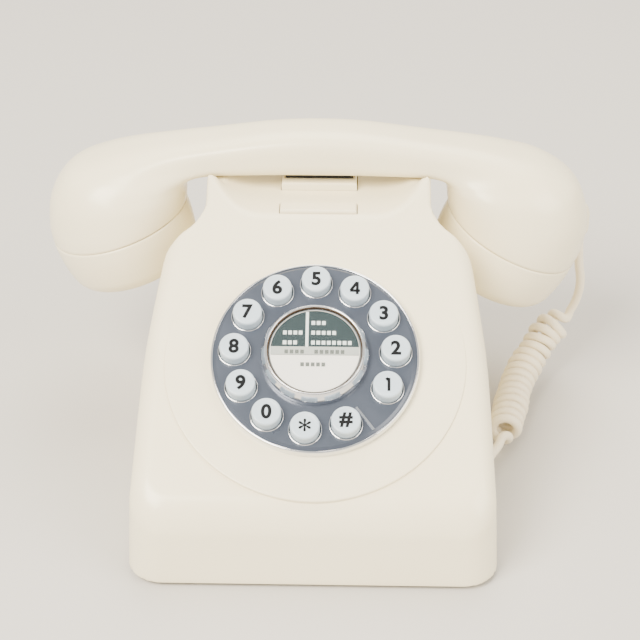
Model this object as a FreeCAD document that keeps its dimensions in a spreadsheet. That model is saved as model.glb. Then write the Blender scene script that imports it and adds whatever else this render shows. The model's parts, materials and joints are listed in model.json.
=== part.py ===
import FreeCAD, Part
import Sketcher
import math
import os
from types import SimpleNamespace

from FreeCAD import Placement, Rotation, Vector

# Corded landline phone with a push-button dial laid out like a rotary one.
# +Z up, front towards -Y, origin on the table under the middle of the base.
# Millimetres and degrees.

doc = FreeCAD.newDocument("landline_phone")

# ---------------------------------------------------------------- driving dimensions
DIMENSIONS = {
    "base_depth": 212.0,
    "cover_bottom": 2.0,
    "crease_height": 34.2,
    "face_slope": 31.0,
    "front_half_width": 75.8,
    "rear_half_width": 58.0,
    "side_draft": 3.2,
    "front_corner_radius": 14.5,
    "rear_corner_radius": 20.0,
    "crease_radius": 9.0,
    "wall": 2.5,
    "ridge_depth": 110.0,
    "turret_half_width": 48.7,
    "turret_rear_depth": 172.0,
    "horn_top": 116.5,
    "saddle_floor": 106.2,
    "saddle_flat_half": 24.0,
    "saddle_radius": 28.65,
    "channel_floor": 111.2,
    "channel_front_depth": 138.2,
    "channel_length": 30.5,
    "shoulder_height": 56.0,
    "rear_deck_height": 44.0,
    "dial_centre_depth": 60.8,
    "plinth_radius": 62.4,
    "plinth_tilt": 0.95,
    "plinth_rise": 0.46,
    "seat_radius": 43.7,
    "face_opening_radius": 40.4,
    "dial_radius": 42.0,
    "dial_bottom": 0.5,
    "dial_top": 4.8,
    "trim_radius": 43.3,
    "trim_top": 4.4,
    "button_circle": 33.15,
    "button_step": 29.03,
    "button_radius": 6.05,
    "button_hole_radius": 6.45,
    "button_top": 10.0,
    "button_travel": 1.5,
    "flange_radius": 6.8,
    "redial_radius": 19.0,
    "redial_stem_radius": 7.0,
    "card_level": 9.2,
    "lens_top": 10.7,
    "bezel_outer": 22.3,
    "bezel_inner": 19.4,
    "frame_radius": 39.4,
    "hook_half_width": 16.6,
    "hook_length": 37.0,
    "handle_underside": 112.1,
    "handle_top": 132.7,
    "handle_half_width": 13.9,
    "handset_depth": 153.4,
    "seam_radius": 32.0,
    "cap_radius": 30.0,
    "cap_length": 25.0,
    "ear_tilt": 17.5,
    "mouth_tilt": 25.0,
    "shell_wall": 2.2,
    "boss_across": 119.3,
    "boss_depth": 163.6,
    "boss_radius": 4.0,
    "wire_diameter": 4.2,
    "coil_diameter": 16.0,
    "plug_width": 7.7,
    "plug_height": 6.6,
    "board_thickness": 1.6,
    "board_height": 14.0,
    "foot_radius": 8.0,
}


class Size(float):
    """A number that also remembers the sheet expression it comes from."""

    def __new__(cls, number, text):
        made = super().__new__(cls, number)
        made.text = text
        return made

    def __add__(self, other):
        return Size(float(self) + float(other), f"({self.text} + {text_of(other)})")

    def __sub__(self, other):
        return Size(float(self) - float(other), f"({self.text} - {text_of(other)})")

    def __mul__(self, other):
        return Size(float(self) * float(other), f"({self.text} * {text_of(other)})")

    def __truediv__(self, other):
        return Size(float(self) / float(other), f"({self.text} / {text_of(other)})")

    def __neg__(self):
        return Size(-float(self), f"(0 - {self.text})")


def text_of(number):
    """Return the expression of a Size, or the digits of a plain number."""
    return number.text if isinstance(number, Size) else f"({float(number)!r})"


def fill_sheet():
    """Write the driving dimensions in a spreadsheet and return them as Sizes."""
    sheet = doc.addObject("Spreadsheet::Sheet", "Dims")
    for row, (alias, number) in enumerate(DIMENSIONS.items(), start=1):
        sheet.set(f"A{row}", alias)
        sheet.set(f"B{row}", str(number))
        sheet.setAlias(f"B{row}", alias)
    doc.recompute()
    return SimpleNamespace(**{a: Size(sheet.get(a), f"Dims.{a}") for a in DIMENSIONS})


dim = fill_sheet()
nodes = {}


# ---------------------------------------------------------------- frames
def y_at(depth):
    """Turn a depth behind the front wall into a y of the part's frame."""
    return depth - dim.base_depth / 2


def face_height(depth):
    """Height of the sloping face at a depth behind the front wall."""
    return dim.crease_height + depth * math.tan(math.radians(dim.face_slope))


WORLD = Placement()
FACE = Placement(
    Vector(0, float(y_at(dim.dial_centre_depth)), float(face_height(dim.dial_centre_depth))),
    Rotation(Vector(1, 0, 0), float(dim.face_slope)),
)
HANDSET_Y = float(y_at(dim.handset_depth))
EAR_SEAM = Vector(-90.6, HANDSET_Y, 86.4)
MOUTH_SEAM = Vector(86.8, HANDSET_Y, 81.5)
# A cap's own +Z runs from its seam out to its face: down, and in towards the base.
EAR = Placement(EAR_SEAM, Rotation(Vector(0, 1, 0), 180.0 - float(dim.ear_tilt)))
MOUTH = Placement(MOUTH_SEAM, Rotation(Vector(0, 1, 0), 180.0 + float(dim.mouth_tilt)))
JACK_TURN = 25.0
JACK = Placement(Vector(66.0, -50.0, 6.4), Rotation(Vector(0, 0, 1), -JACK_TURN))
JACK_RECESS = (16.0, 46.0, 11.4)
PLUG_LENGTH = 14.0
HOOK_Y = float(y_at(121.9 + float(dim.hook_length) / 2))
HOOK_STEM_Y = HOOK_Y - 8.0
HOOK_RISERS = (("lip", HOOK_Y - 14.5, 8.0, 107.6), ("heel", HOOK_Y + 10.5, 16.0, 109.6))
RECESS_AT = (0, 78.0, 62.0)
RECESS_SIZE = (64.0, 44.0, 24.0)
LINE_SOCKET_X = -24.0
SLIDER_SPOTS = {"ringer_volume": 12.0, "tone_pulse": 34.0}
SCREW_SPOTS = ((-58.0, -84.0), (58.0, -84.0), (-44.0, 78.0), (44.0, 78.0))
BOARD_SPOTS = ((-46.0, -52.0), (46.0, -52.0), (-38.0, 40.0), (38.0, 40.0))
UPPER_LEAD = [(119.3, 57.6, 74.5), (119.7, 57.6, 61.0), (122.6, 57.4, 47.0), (119.3, 57.0, 33.0)]
COIL = [(119.3, 57.0, 33.0), (112.0, 54.0, 27.5), (106.0, 50.0, 24.0), (102.0, 44.0, 19.0),
        (96.2, 36.0, 14.5), (91.2, 24.0, 11.6), (88.2, 10.0, 10.3), (84.7, -5.0, 9.4), (81.5, -17.0, 9.0)]
LOWER_LEAD = [(81.5, -17.0, 9.0), (79.4, -22.0, 9.2), (76.2, -28.1, 9.7), (68.54, -44.56, 9.7)]
FOOT_SPOTS = ((-54.0, -62.0), (54.0, -62.0), (-40.0, 58.0), (40.0, 58.0))


def place(thing, at, frame=WORLD):
    """Put a thing at a point of a frame, square to that frame."""
    thing.Placement = frame.multiply(Placement(Vector(*[float(v) for v in at]), Rotation()))
    return thing


# ---------------------------------------------------------------- builders
def make(kind, label, **sizes):
    """Add an object whose sizes are bound to the sheet."""
    thing = doc.addObject(kind, label)
    thing.Label = label
    for name, number in sizes.items():
        if isinstance(number, Size):
            thing.setExpression(name, number.text)
        else:
            setattr(thing, name, number)
    return thing


def box(label, across, deep, high, at, frame=WORLD):
    """Box centred on X and Y of its point, rising from it."""
    thing = make("Part::Box", label, Length=across, Width=deep, Height=high)
    x, y, z = at
    return place(thing, (x - float(across) / 2, y - float(deep) / 2, z), frame)


def cylinder(label, radius, high, at, frame=WORLD):
    """Cylinder that rises from its point along the frame's Z."""
    return place(make("Part::Cylinder", label, Radius=radius, Height=high), at, frame)


def bar_along_x(label, radius, long, at):
    """Cylinder that runs from its point along +X."""
    thing = cylinder(label, radius, long, at)
    thing.Placement = Placement(thing.Placement.Base, Rotation(Vector(0, 1, 0), 90))
    return thing


def bar_along_y(label, radius, long, at):
    """Cylinder that runs from its point along +Y."""
    thing = cylinder(label, radius, long, at)
    thing.Placement = Placement(thing.Placement.Base, Rotation(Vector(1, 0, 0), -90))
    return thing


def cut(label, base, tool):
    """Cut one object from another."""
    thing = make("Part::Cut", label)
    thing.Base, thing.Tool = base, tool
    return thing


def fuse(label, things):
    """Join several objects, which may also be separate solids."""
    thing = make("Part::MultiFuse", label)
    thing.Shapes = things
    return thing


def common(label, one, other):
    """Keep what two objects share."""
    thing = make("Part::MultiCommon", label)
    thing.Shapes = [one, other]
    return thing


def node(thing, label=None):
    """Register an object as a sub-part; its label names its file."""
    if label:
        thing.Label = label
    nodes[thing.Label] = thing
    return thing


def new_body(label):
    """Add an empty PartDesign body."""
    body = doc.addObject("PartDesign::Body", label)
    body.Label = label
    return body


def outline(body, role, corners):
    """Closed straight-sided sketch whose corners are bound to the sheet."""
    sketch = body.newObject("Sketcher::SketchObject", f"{body.Label}_sketch")
    plane = next(f for f in body.Origin.OriginFeatures if f.Role == role)
    sketch.AttachmentSupport = [(plane, "")]
    sketch.MapMode = "FlatFace"
    points = [Vector(float(a), float(b), 0) for a, b in corners]
    for start, end in zip(points, points[1:] + points[:1]):
        sketch.addGeometry(Part.LineSegment(start, end), False)
    constraint = Sketcher.Constraint
    for index in range(len(points)):
        sketch.addConstraint(constraint("Coincident", index, 2, (index + 1) % len(points), 1))
    for index, corner in enumerate(corners):
        for direction, number in zip(("DistanceX", "DistanceY"), corner):
            row = sketch.addConstraint(constraint(direction, -1, 1, index, 1, float(number)))
            if isinstance(number, Size):
                sketch.setExpression(f"Constraints[{row}]", number.text)
    return sketch


def padded(label, role, corners, length, symmetric=False, taper=None):
    """Body padded from a straight-sided outline."""
    body = new_body(label)
    pad = body.newObject("PartDesign::Pad", f"{label}_pad")
    pad.Profile = outline(body, role, corners)
    if isinstance(length, Size):
        pad.setExpression("Length", length.text)
    else:
        pad.Length = length
    if symmetric:
        pad.Midplane = True
    if taper is not None:
        pad.setExpression("TaperAngle", (-taper).text)
    return body


def turned(label, corners, frame=WORLD, at=(0, 0, 0)):
    """Body turned about its Z from an outline of (radius, height) corners."""
    body = new_body(label)
    spin = body.newObject("PartDesign::Revolution", f"{label}_turn")
    sketch = outline(body, "XZ_Plane", corners)
    spin.Profile = sketch
    spin.ReferenceAxis = (sketch, ["V_Axis"])
    spin.Angle = 360.0
    return place(body, at, frame)


def rounded(label, thing, radius, chosen):
    """Fillet the edges of a thing whose middle passes a test."""
    doc.recompute()
    rows = []
    for number, edge in enumerate(thing.Shape.Edges, start=1):
        middle = edge.valueAt((edge.FirstParameter + edge.LastParameter) / 2)
        if chosen(edge, middle):
            rows.append((number, float(radius), float(radius)))
    fillet = make("Part::Fillet", label)
    fillet.Base = thing
    fillet.Edges = rows
    return fillet


def dial_spot(step):
    """Point of the button circle, counted in steps anticlockwise from the top."""
    turn = math.radians(float(dim.button_step) * step)
    return -float(dim.button_circle) * math.sin(turn), float(dim.button_circle) * math.cos(turn)


# ---------------------------------------------------------------- base cover
def wedge_block(tag, inset):
    """Solid wedge of the base, side profile crossed with the drafted plan, inset all round."""
    rear = dim.base_depth / 2 - inset
    front = -rear
    tip_depth = dim.turret_rear_depth - 35.0
    drop = inset * 0.566
    profile = padded(f"{tag}_profile", "YZ_Plane", [
        (front, dim.cover_bottom - inset),
        (front, dim.crease_height - drop),
        (y_at(tip_depth) + inset * 0.28, dim.horn_top - inset),
        (y_at(dim.turret_rear_depth) - inset, dim.horn_top - inset),
        (y_at(dim.turret_rear_depth + 20.0) - inset, dim.rear_deck_height + 22.0),
        (rear - 4.0, dim.rear_deck_height - inset),
        (rear, dim.rear_deck_height - 8.0 - inset),
        (rear, dim.cover_bottom - inset),
    ], 200.0, symmetric=True)
    half = dim.front_half_width - inset
    rear_half = dim.rear_half_width - inset
    plan = padded(f"{tag}_plan", "XY_Plane", [
        (-half, front),
        (half, front),
        (half, y_at(70.0)),
        (rear_half, rear),
        (-rear_half, rear),
        (-half, y_at(70.0)),
    ], 130.0, taper=dim.side_draft)
    plan_front = rounded(f"{tag}_plan_front", plan, dim.front_corner_radius - inset,
                         lambda e, m: 40 < m.z < 90 and m.y < -60)
    plan_soft = rounded(f"{tag}_plan_soft", plan_front, dim.rear_corner_radius - inset,
                        lambda e, m: 40 < m.z < 90 and m.y > 60)
    profile_soft = rounded(f"{tag}_profile_soft", profile, dim.crease_radius - inset,
                           lambda e, m: abs(m.y - front) < 1 and abs(m.z - dim.crease_height + drop) < 1)
    return common(f"{tag}_block", profile_soft, plan_soft)


def shoulder_cut(tag, side, inset):
    """What is taken away beside the turret, above the sloping shoulder."""
    across = (dim.turret_half_width - inset) * side
    ridge = y_at(dim.ridge_depth) - inset
    reach = 100.0
    plan = padded(f"{tag}_shoulder_plan", "XY_Plane", [
        (across, ridge + 9.5),
        (across, reach + 20.0),
        (side * reach, reach + 20.0),
        (side * reach, ridge - 25.0),
    ], 140.0)
    height = padded(f"{tag}_shoulder_height", "YZ_Plane", [
        (ridge - 30.0, dim.shoulder_height + 75.0),
        (ridge - 8.0, dim.shoulder_height + 40.0),
        (ridge + 12.0, dim.shoulder_height - inset),
        (dim.base_depth / 2 + 10.0, dim.rear_deck_height - 6.0 - inset),
        (dim.base_depth / 2 + 10.0, dim.horn_top + 40.0),
    ], 240.0, symmetric=True)
    return common(f"{tag}_shoulder_cut", plan, height)


def cradle_tools(tag, inset):
    """Saddle trough and the channel that the handle lies in."""
    floor = dim.saddle_floor - inset
    start = float(y_at(60.0))
    length = 200.0
    flat = box(f"{tag}_trough_flat", dim.saddle_flat_half * 2, length, 60.0,
               (0, start + length / 2, float(floor)))
    rounds = [bar_along_y(f"{tag}_trough_round_{i}", dim.saddle_radius + inset, length,
                          (side * dim.saddle_flat_half, start, dim.saddle_floor + dim.saddle_radius))
              for i, side in enumerate((-1, 1))]
    channel = box(f"{tag}_handle_channel", 140.0, dim.channel_length + inset * 2, 40.0,
                  (0, float(y_at(dim.channel_front_depth)) + float(dim.channel_length) / 2,
                   float(dim.channel_floor - inset)))
    return [flat, *rounds, channel]


def wedge(tag, inset):
    """Wedge with its shoulders and cradle cut; inset gives the hollow inside it."""
    shoulders = [shoulder_cut(f"{tag}_{name}", side, inset) for name, side in (("left", -1), ("right", 1))]
    tools = fuse(f"{tag}_tools", shoulders + cradle_tools(tag, inset))
    return cut(f"{tag}_wedge", wedge_block(tag, inset), tools)


def jack_block(label, gap):
    """Block that the jack recess is sunk in, grown by a gap all round."""
    grow = 4.4 + gap * 2
    across, deep, high = JACK_RECESS
    return box(label, across + grow, deep + grow, high + grow, (0, deep / 2, -4.2 - gap), JACK)


def build_cover():
    """Base cover: a hollow shell with its dial seat, cradle and sockets."""
    outer = wedge("outer", dim.wall * 0.0)
    inner = wedge("inner", dim.wall)
    shell = cut("cover_shell", outer, inner)
    slots = [box(f"hook_slot_{name}", dim.hook_half_width * 2 + 0.8, deep + 0.8, 60.0, (0, middle, 60.0))
             for name, middle, deep, top in HOOK_RISERS]
    plinth_frame = FACE.multiply(Placement(Vector(), Rotation(Vector(1, 0, 0), -float(dim.plinth_tilt))))
    sink = 2.4
    plinth = cylinder("plinth", dim.plinth_radius, dim.plinth_rise + sink, (0, 0, -sink), plinth_frame)
    recess_walls = common("recess_walls", outer,
                          box("recess_block", RECESS_SIZE[0] + 5, RECESS_SIZE[1] + 5, RECESS_SIZE[2] + 5,
                              (RECESS_AT[0], RECESS_AT[1], RECESS_AT[2] - 2.5)))
    jack_walls = common("jack_walls", outer, jack_block("jack_block", 0.0))
    posts = [cylinder(f"screw_post_{i}", 4.5, 90.0, (x, y, 4.2)) for i, (x, y) in enumerate(SCREW_SPOTS)]
    bosses = common("screw_bosses", outer, fuse("screw_posts", posts))
    body = fuse("cover_body", [shell, plinth, recess_walls, jack_walls, bosses])
    tools = [
        cylinder("dial_seat", dim.seat_radius, 12.0, (0, 0, 0.2), FACE),
        cylinder("face_opening", dim.face_opening_radius, 40.0, (0, 0, -12.0), FACE),
        *slots,
        box("carry_recess", *RECESS_SIZE, RECESS_AT),
        box("jack_recess", *JACK_RECESS, (0, JACK_RECESS[1] / 2, -2.0), JACK),
        box("jack_window", 12.2, 6.0, 8.4, (0, -2.0, -1.0), JACK),
        box("line_window", 13.6, 12.0, 14.4, (LINE_SOCKET_X, 106.0, 8.0)),
    ]
    tools += [box(f"{name}_window", 12.0, 12.0, 3.2, (x, 106.0, 14.4)) for name, x in SLIDER_SPOTS.items()]
    tools += [cylinder(f"screw_pilot_{i}", 1.35, 20.0, (x, y, 4.0)) for i, (x, y) in enumerate(SCREW_SPOTS)]
    node(cut("base_cover", body, fuse("cover_tools", tools)))


def build_underside():
    """Base plate with its feet, screws, ballast and board standoffs."""
    inset = 3.2
    rear = dim.base_depth / 2
    plan = padded("plate_plan", "XY_Plane", [
        (-dim.front_half_width + inset, inset - rear),
        (dim.front_half_width - inset, inset - rear),
        (dim.front_half_width - inset, y_at(70.0)),
        (dim.rear_half_width - inset, rear - inset),
        (-dim.rear_half_width + inset, rear - inset),
        (-dim.front_half_width + inset, y_at(70.0)),
    ], 1.8)
    upright = lambda edge, middle: 0.5 < middle.z < 1.5 and edge.Length < 3
    plate_front = rounded("plate_front", plan, dim.front_corner_radius - 1.0,
                          lambda e, m: upright(e, m) and m.y < -60)
    plate_soft = rounded("plate_soft", plate_front, dim.rear_corner_radius - 1.0,
                         lambda e, m: upright(e, m) and m.y > 90)
    standoffs = [cylinder(f"standoff_{i}", 3.2, float(dim.board_height) - 3.0, (x, y, 3.0))
                 for i, (x, y) in enumerate(BOARD_SPOTS)]
    plate = fuse("plate_lift", [place(plate_soft, (0, 0, 1.6)), *standoffs])
    holes = [cylinder(f"plate_hole_{i}", 1.8, 8.0, (x, y, 0)) for i, (x, y) in enumerate(SCREW_SPOTS)]
    holes += [cylinder(f"standoff_hole_{i}", 1.3, 12.0, (x, y, 5.0))
              for i, (x, y) in enumerate(BOARD_SPOTS)]
    holes.append(jack_block("plate_notch", 0.4))
    node(cut("base_plate", plate, fuse("plate_holes", holes)))
    feet = [turned(f"foot_{i}", [(0, 0), (dim.foot_radius - 0.8, 0), (dim.foot_radius, 0.8),
                                 (dim.foot_radius, 1.6), (0, 1.6)], at=(x, y, 0))
            for i, (x, y) in enumerate(FOOT_SPOTS)]
    node(fuse("rubber_feet", feet))
    screws = [turned(f"base_screw_{i}", [(0, 0.4), (3.2, 0.4), (3.2, 1.6), (1.3, 1.6), (1.3, 16.0),
                                         (0, 17.5)], at=(x, y, 0)) for i, (x, y) in enumerate(SCREW_SPOTS)]
    node(fuse("base_screws", screws))
    node(box("ballast_weight", 84.0, 26.0, 9.0, (0, -86.0, 3.6)))


def build_electronics():
    """Main board and what stands on it."""
    top = float(dim.board_height) + float(dim.board_thickness)
    plain = box("board_blank", 104.0, 104.0, dim.board_thickness, (0, -6.0, float(dim.board_height)))
    holes = [cylinder(f"board_hole_{i}", 1.6, 6.0, (x, y, float(dim.board_height) - 2))
             for i, (x, y) in enumerate(BOARD_SPOTS)]
    node(cut("main_board", plain, fuse("board_holes", holes)))
    screws = [turned(f"board_screw_{i}", [(0, top - 8.0), (1.25, top - 7.0), (1.25, top), (2.8, top),
                                          (2.8, top + 1.8), (0, top + 1.8)], at=(x, y, 0))
              for i, (x, y) in enumerate(BOARD_SPOTS)]
    node(fuse("board_screws", screws))
    node(box("line_transformer", 20.0, 17.0, 15.0, (-34.0, 18.0, top)))
    cans = [cylinder(f"can_{i}", 4.0, 11.0, (-36.0 + 10.0 * i, -14.0, top)) for i in range(3)]
    node(fuse("electrolytic_capacitors", cans))
    node(box("controller_chip", 18.0, 8.0, 3.0, (22.0, -22.0, top)))
    speaker = cut("speaker_blank", cylinder("speaker_can", 18.0, 9.0, (0, 66.0, 3.6)),
                  cylinder("speaker_dish", 15.0, 4.0, (0, 66.0, 8.8)))
    node(fuse("ringer_speaker", [speaker, cylinder("speaker_dome", 6.0, 4.2, (0, 66.0, 8.4))]))
    node(box("hook_microswitch", 13.0, 20.0, 10.0, (16.0, HOOK_STEM_Y, top)))
    coil = cut("spring_tube", cylinder("spring_outer", 4.0, 39.0, (0, HOOK_STEM_Y, top)),
               cylinder("spring_inner", 3.2, 41.0, (0, HOOK_STEM_Y, top - 1)))
    node(coil, "hook_spring")
    socket = cut("line_socket_blank", box("line_block", 13.0, 17.0, 13.6, (LINE_SOCKET_X, 97.3, 8.4)),
                 box("line_cavity", 9.8, 13.0, 8.0, (LINE_SOCKET_X, 101.0, 11.0)))
    node(socket, "line_socket")
    jack = cut("jack_blank", box("jack_body", 11.8, 16.0, 8.0, (0, -7.4, -0.8), JACK),
               box("jack_cavity", dim.plug_width + 0.4, 13.4, dim.plug_height + 0.4, (0, -5.8, -0.2), JACK))
    node(jack, "handset_socket")


def build_hook():
    """Hook bar: a lip at the front edge and a heel under the handle, joined below the floor."""
    width = dim.hook_half_width * 2
    web_low, web_high = 95.0, 4.0
    web = box("hook_web", width, dim.hook_length, web_high, (0, HOOK_Y, web_low))
    parts = [web]
    for name, middle, deep, top in HOOK_RISERS:
        raised = box(f"hook_{name}", width, deep, top - web_low, (0, middle, web_low))
        parts.append(rounded(f"hook_{name}_soft", raised, 0.9, lambda e, m, top=top: m.z > top - 0.1))
    stem_low = 56.0
    parts.append(box("hook_stem", 9.0, 9.0, web_low - stem_low + 1.0, (0, HOOK_STEM_Y, stem_low)))
    node(fuse("hook_bar", parts))


def build_dial():
    """Dial plate, its trim, the keypad stack under it and the centre bezel."""
    plate = turned("dial_blank", [(0, dim.dial_bottom), (dim.dial_radius, dim.dial_bottom),
                                  (dim.dial_radius, dim.dial_top - 0.9), (dim.dial_radius - 1.4, dim.dial_top),
                                  (0, dim.dial_top)], FACE)
    holes = [cylinder(f"dial_hole_{i}", dim.button_hole_radius, 12.0, (*dial_spot(i), -2.0), FACE)
             for i in range(-4, 8)]
    holes.append(cylinder("dial_centre_hole", dim.redial_stem_radius + 0.6, 12.0, (0, 0, -2.0), FACE))
    node(cut("dial_plate", plate, fuse("dial_holes", holes)))
    inner = dim.dial_radius + 0.05
    node(turned("dial_rim_trim", [(inner, dim.dial_bottom), (dim.trim_radius, dim.dial_bottom),
                                  (dim.trim_radius, dim.trim_top - 0.8), (dim.trim_radius - 0.6, dim.trim_top),
                                  (inner, dim.trim_top)], FACE))
    node(turned("centre_bezel", [(dim.bezel_inner, dim.dial_top), (dim.bezel_outer, dim.dial_top),
                                 (dim.bezel_outer, 7.6), (dim.bezel_outer - 0.5, 8.2),
                                 (dim.bezel_inner + 0.7, 11.0), (dim.bezel_inner, 11.0)], FACE))
    mark = box("finger_stop_mark", 0.9, 12.1, 0.6, (0, 34.75, float(dim.dial_top)))
    turn = Placement(Vector(), Rotation(Vector(0, 0, 1), -143.3))
    mark.Placement = FACE.multiply(turn).multiply(mark.Placement)
    node(mark)
    guides = [cylinder(f"guide_hole_{i}", dim.flange_radius + 0.4, 12.0, (*dial_spot(i), -6.0), FACE)
              for i in range(-4, 8)]
    guides.append(cylinder("guide_centre", dim.redial_stem_radius + 0.6, 12.0, (0, 0, -6.0), FACE))
    node(cut("keypad_frame", cylinder("frame_blank", dim.frame_radius, 3.1, (0, 0, -2.8), FACE),
             fuse("guide_holes", guides)))
    node(cylinder("keypad_membrane", dim.frame_radius - 0.6, 1.2, (0, 0, -4.0), FACE))
    node(cylinder("keypad_board", dim.frame_radius - 0.6, dim.board_thickness, (0, 0, -5.6), FACE))
    screws = []
    for i in range(4):
        turn = math.radians(45 + 90 * i)
        spot = (24.5 * math.cos(turn), 24.5 * math.sin(turn), 0)
        screws.append(turned(f"keypad_screw_{i}", [(0, -7.2), (2.4, -7.2), (2.4, -5.6), (0, -5.6)], FACE, spot))
    node(fuse("keypad_screws", screws))
    node(box("keypad_cable", 16.0, 0.5, 49.0, (0, -38.0, float(dim.board_height) + 1.6)))


BUTTONS = ("button_1", "button_2", "button_3", "button_4", "button_5", "button_6", "button_7",
           "button_8", "button_9", "button_0", "button_star", "button_hash")


def build_buttons():
    """Twelve dished buttons and the redial disc with its card and lens."""
    top = dim.button_top
    for step, label in enumerate(BUTTONS, start=-4):
        node(turned(label, [(0, -1.0), (dim.flange_radius, -1.0), (dim.flange_radius, 0.2),
                            (dim.button_radius, 0.2), (dim.button_radius, top - 1.0),
                            (dim.button_radius - 0.9, top - 0.1), (dim.button_radius - 1.6, top),
                            (0, top - 0.5)], FACE, (*dial_spot(step), 0)))
    redial_low = dim.dial_top + dim.button_travel + 0.3
    node(turned("redial_button", [(0, -1.0), (dim.redial_stem_radius, -1.0),
                                  (dim.redial_stem_radius, redial_low), (dim.redial_radius, redial_low),
                                  (dim.redial_radius, dim.card_level), (0, dim.card_level)], FACE))
    node(turned("number_card", [(0, dim.card_level), (dim.redial_radius - 0.6, dim.card_level),
                                (dim.redial_radius - 0.6, dim.card_level + 0.3),
                                (0, dim.card_level + 0.3)], FACE))
    node(turned("card_lens", [(0, dim.card_level + 0.3), (dim.redial_radius, dim.card_level + 0.3),
                              (dim.redial_radius, dim.lens_top - 0.5),
                              (dim.redial_radius - 0.6, dim.lens_top), (0, dim.lens_top)], FACE))


def build_sliders():
    """Two small slide switches in the rear wall."""
    for name, x in SLIDER_SPOTS.items():
        node(box(f"{name}_switch", 14.0, 5.0, 7.0, (x, 98.0, 12.5)))
        cap = box(f"{name}_cap", 5.0, 3.2, 2.4, (x - 3.0, 104.2, 14.8))
        neck = box(f"{name}_neck", 2.0, 2.4, 1.6, (x - 3.0, 101.9, 15.2))
        node(fuse(f"{name}_slider", [cap, neck]))


# ---------------------------------------------------------------- handset
def section(inner, outer, half_width, squareness, shrink=0.0):
    """Closed rounded section across the handle, from its inner to its outer point."""
    low, high = Vector(inner[0], 0, inner[1]), Vector(outer[0], 0, outer[1])
    middle, reach = (low + high) / 2, (high - low) / 2
    along = reach.Length - shrink
    reach.normalize()
    points = []
    count = 24
    for i in range(count):
        turn = 2 * math.pi * i / count
        up = math.copysign(abs(math.cos(turn)) ** (2 / squareness), math.cos(turn))
        out = math.copysign(abs(math.sin(turn)) ** (2 / squareness), math.sin(turn))
        spot = middle + reach * (along * up)
        points.append(Vector(spot.x, HANDSET_Y + out * (half_width - shrink), spot.z))
    curve = Part.BSplineCurve()
    curve.interpolate(points, True)
    return Part.Wire(curve.toShape())


def seam_ends(seam, tilt):
    """Inner and outer point of a cap seam, as (across, height)."""
    lean = math.radians(float(tilt))
    radius = float(dim.seam_radius)
    across, rise = radius * math.cos(lean), radius * math.sin(lean)
    return (abs(seam.x) - across, seam.z + rise), (abs(seam.x) + across, seam.z - rise)


EAR_HEAD = [
    ((59.6, 99.0), (122.2, 86.0), 31.7, 2.0),
    ((59.4, 104.0), (120.2, 100.0), 29.8, 2.1),
    ((58.2, 107.8), (112.6, 111.4), 25.6, 2.25),
    ((55.6, 110.2), (99.2, 117.8), 21.2, 2.5),
    ((51.8, 111.6), (84.6, 122.0), 17.6, 2.8),
]
MOUTH_HEAD = [
    ((57.2, 98.6), (119.2, 77.5), 31.8, 2.0),
    ((56.6, 104.0), (120.2, 91.0), 30.2, 2.1),
    ((55.6, 107.8), (115.0, 106.0), 27.0, 2.25),
    ((54.0, 110.2), (102.0, 116.0), 22.0, 2.5),
    ((51.0, 111.6), (85.8, 121.4), 17.8, 2.8),
]


def handset_sections(seam, tilt, head):
    """Sections from a cap's seam, round its head and into the middle of the handle."""
    inner, outer = seam_ends(seam, tilt)
    floor, half = float(dim.handle_underside), float(dim.handle_half_width)
    return [
        (inner, outer, float(dim.seam_radius), 2.0),
        *head,
        ((45.0, floor), (68.0, 125.2), 15.2, 3.0),
        ((34.0, floor), (46.0, 128.3), 14.2, 3.2),
        ((17.0, floor), (20.0, 131.8), half, 3.2),
    ]


def handle_shape(shrink):
    """Solid of the handle lofted from seam to seam; shrink makes the inside."""
    left = handset_sections(EAR_SEAM, dim.ear_tilt, EAR_HEAD)
    right = handset_sections(MOUTH_SEAM, dim.mouth_tilt, MOUTH_HEAD)
    middle = ((0.0, float(dim.handle_underside)), (0.0, float(dim.handle_top)),
              float(dim.handle_half_width), 3.2)
    chain = [((-a[0], a[1]), (-b[0], b[1]), w, e) for a, b, w, e in left]
    chain += [middle] + right[::-1]
    rings = [section(*row, shrink) for row in chain]
    spans = [Part.makeLoft([one, other], True, True) for one, other in zip(rings, rings[1:])]
    return spans[0].multiFuse(spans[1:])


def feature(label, shape):
    """Keep a shape that no single primitive makes as a Part::Feature."""
    thing = make("Part::Feature", label)
    thing.Shape = shape
    return thing


def build_cap(label, frame, hole_rings):
    """Round cap: a cup whose face has rings of sound holes."""
    seam, rim = dim.seam_radius, dim.cap_radius
    wall = dim.shell_wall
    long = dim.cap_length
    cup = turned(f"{label}_cup", [
        (seam - wall, 0.3), (seam, 0.3), (seam, 7.0), (rim + 1.2, long - 11.0), (rim, long - 5.5),
        (rim - 2.2, long - 2.0), (rim - 6.0, long), (0, long - 0.6), (0, long - 0.6 - wall),
        (rim - 6.8, long - wall), (rim - 4.0, long - 4.2), (rim - wall, long - 6.5), (seam - wall, 7.0)], frame)
    holes = [cylinder(f"{label}_hole_0", 1.1, 12.0, (0, 0, float(long) - 8), frame)]
    for ring, (radius, count) in enumerate(hole_rings, start=1):
        for i in range(count):
            turn = 2 * math.pi * i / count
            holes.append(cylinder(f"{label}_hole_{ring}_{i}", 1.1, 12.0,
                                  (radius * math.cos(turn), radius * math.sin(turn), float(long) - 8),
                                  frame))
    node(cut(label, cup, fuse(f"{label}_holes", holes)))


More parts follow.
